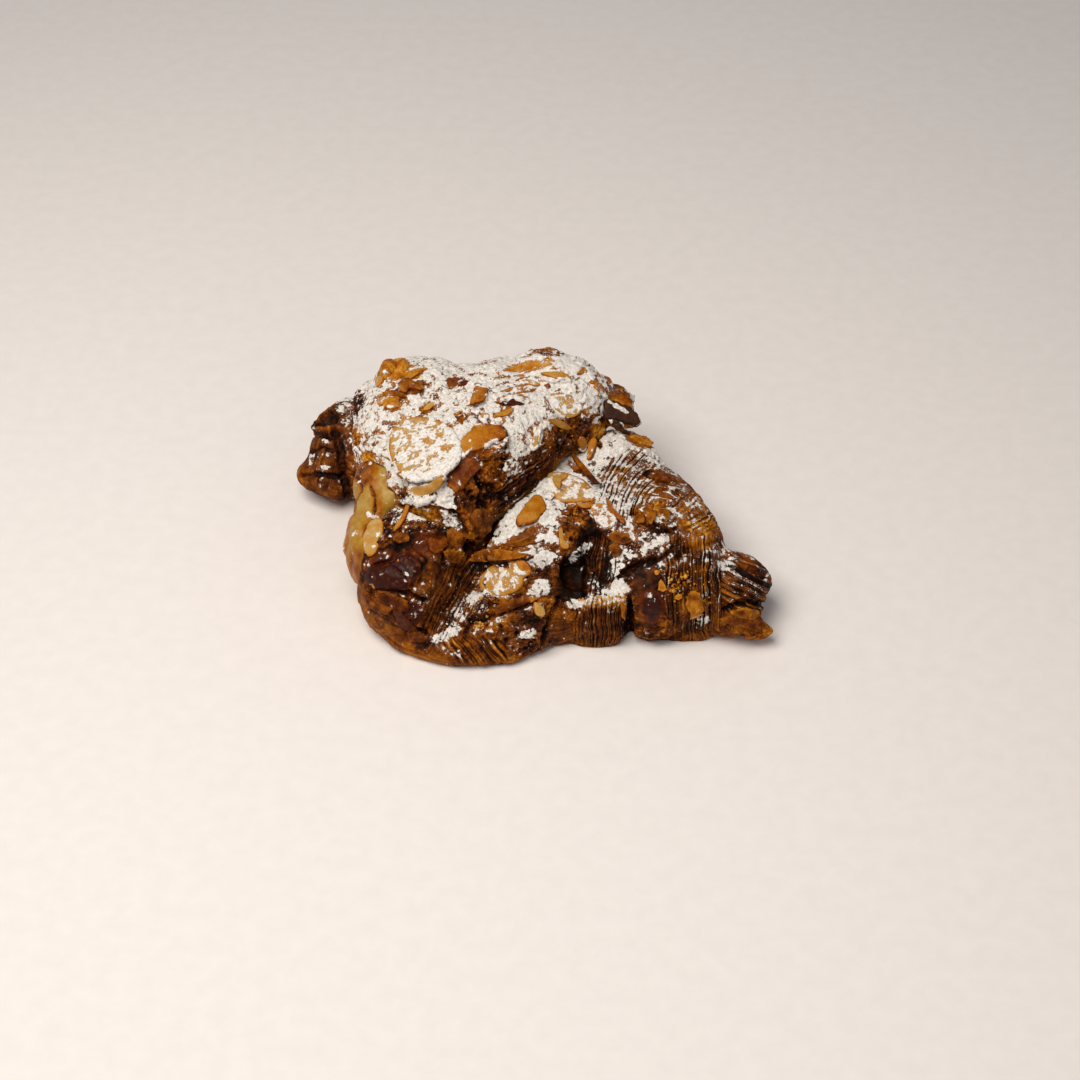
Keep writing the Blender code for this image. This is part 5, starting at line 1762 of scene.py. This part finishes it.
def part_of(item, name, left, right):
    """A closed copy of what lies between two upright planes."""
    bm = bmesh.new()
    bm.from_mesh(item.data)
    for plane, outward in ((left, -1), (right, 1)):
        everything = bm.verts[:] + bm.edges[:] + bm.faces[:]
        bmesh.ops.bisect_plane(bm, geom=everything, plane_co=(plane * MM, 0, 0), plane_no=(outward, 0, 0),
                               clear_outer=True)
    rims = [edge for edge in bm.edges if edge.is_boundary]
    for edge in rims:
        edge.smooth = False
    caps = bmesh.ops.holes_fill(bm, edges=rims, sides=0)["faces"]
    bmesh.ops.triangulate(bm, faces=caps)
    mesh = bpy.data.meshes.new(name)
    bm.to_mesh(mesh)
    bm.free()
    mesh.materials.append(item.data.materials[0])
    return add_object(name, mesh)


for part, count in PARTS.items():
    skin = skins[part]
    pieces = [skin]
    if count > 1:
        reach = places_of(skin.data)[:, 0]
        cuts = [-200, *np.quantile(reach, np.arange(1, count) / count), 200]
        pieces = [part_of(skin, f"{skin.name}_{order}", *cuts[order - 1:order + 1]) for order in range(1, count + 1)]
        bpy.data.objects.remove(skin)
    for piece in pieces:
        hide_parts(NODES[part][0])
        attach(piece, "root")
        print(piece.name, sum(len(face.vertices) - 2 for face in piece.data.polygons), "triangles")

# %% [markdown]
# ## Table, light and camera
#
# A plain pale table and soft studio light: a large lamp high at the back left shapes the crags and lets the front
# fall darker, as in the photograph, and a weak wide one at the front right opens the shadows.

# %% The floor


def table_material():
    # Pale laminate pressed on board is even and matt: it takes the soft shadow and mirrors nothing.
    material, tree, shader = new_material("matt_pale_laminate")
    place = add(tree, "TexCoord").outputs["Object"]
    speck = add(tree, "TexNoise", {"Vector": place, "Scale": scale_of(6.0), "Detail": 2.0})
    tone = add(tree, "ValToRGB", {0: speck}, stops={0.3: "#f0ebe6", 0.7: "#f4efea"})
    feed(tree, shader, {"Base Color": tone, "Roughness": 0.8})
    return material


bm = bmesh.new()
bmesh.ops.create_grid(bm, x_segments=1, y_segments=1, size=2.0)
floor_mesh = bpy.data.meshes.new("floor")
bm.to_mesh(floor_mesh)
bm.free()
floor_mesh.materials.append(table_material())
floor = add_object("floor", floor_mesh)
print("floor", list(floor.dimensions)[:2], "m")

# %% Lamps


def add_lamp(name, azimuth, elevation, reach, size, power, hex_colour):
    """A square lamp aimed at the croissant. Azimuth 0 is in front and 90 at the right."""
    lamp = bpy.data.lights.new(name, "AREA")
    lamp.energy = power
    lamp.size = size
    lamp.color = linear(hex_colour)[:3]
    item = bpy.data.objects.new(name, lamp)
    bpy.context.scene.collection.objects.link(item)
    around, above = math.radians(azimuth), math.radians(elevation)
    outward = Vector((math.sin(around) * math.cos(above), -math.cos(around) * math.cos(above), math.sin(above)))
    item.location = outward * reach
    item.rotation_mode = "QUATERNION"
    item.rotation_quaternion = (-outward).to_track_quat("-Z", "Y")


add_lamp("window", -48, 66, 0.8, 0.5, 5.8, "#fff8f0")
add_lamp("front_fill", 40, 35, 0.9, 0.7, 0.7, "#fff4ea")

world = bpy.data.worlds.new("studio")
bpy.context.scene.world = world
world.use_nodes = True
feed(world.node_tree, world.node_tree.nodes["Background"], {"Color": linear("#e8e6ee"), "Strength": 0.22})
bpy.context.scene.view_settings.view_transform = "Standard"
print(len(bpy.data.lights), "lamps")

# %% The camera
camera_data = bpy.data.cameras.new("camera")
camera_data.lens = LENS
camera_data.sensor_width = SENSOR
camera = bpy.data.objects.new("camera", camera_data)
bpy.context.scene.collection.objects.link(camera)
camera.location = Vector(camera_place) * MM
camera.rotation_mode = "QUATERNION"
camera.rotation_quaternion = Vector(-view_back).to_track_quat("-Z", "Y")
bpy.context.scene.camera = camera
print("camera at", [round(c, 3) for c in camera.location])

# %% [markdown]
# ## A last update
#
# The view layer is updated once more.

# %% Last update
bpy.context.view_layer.update()
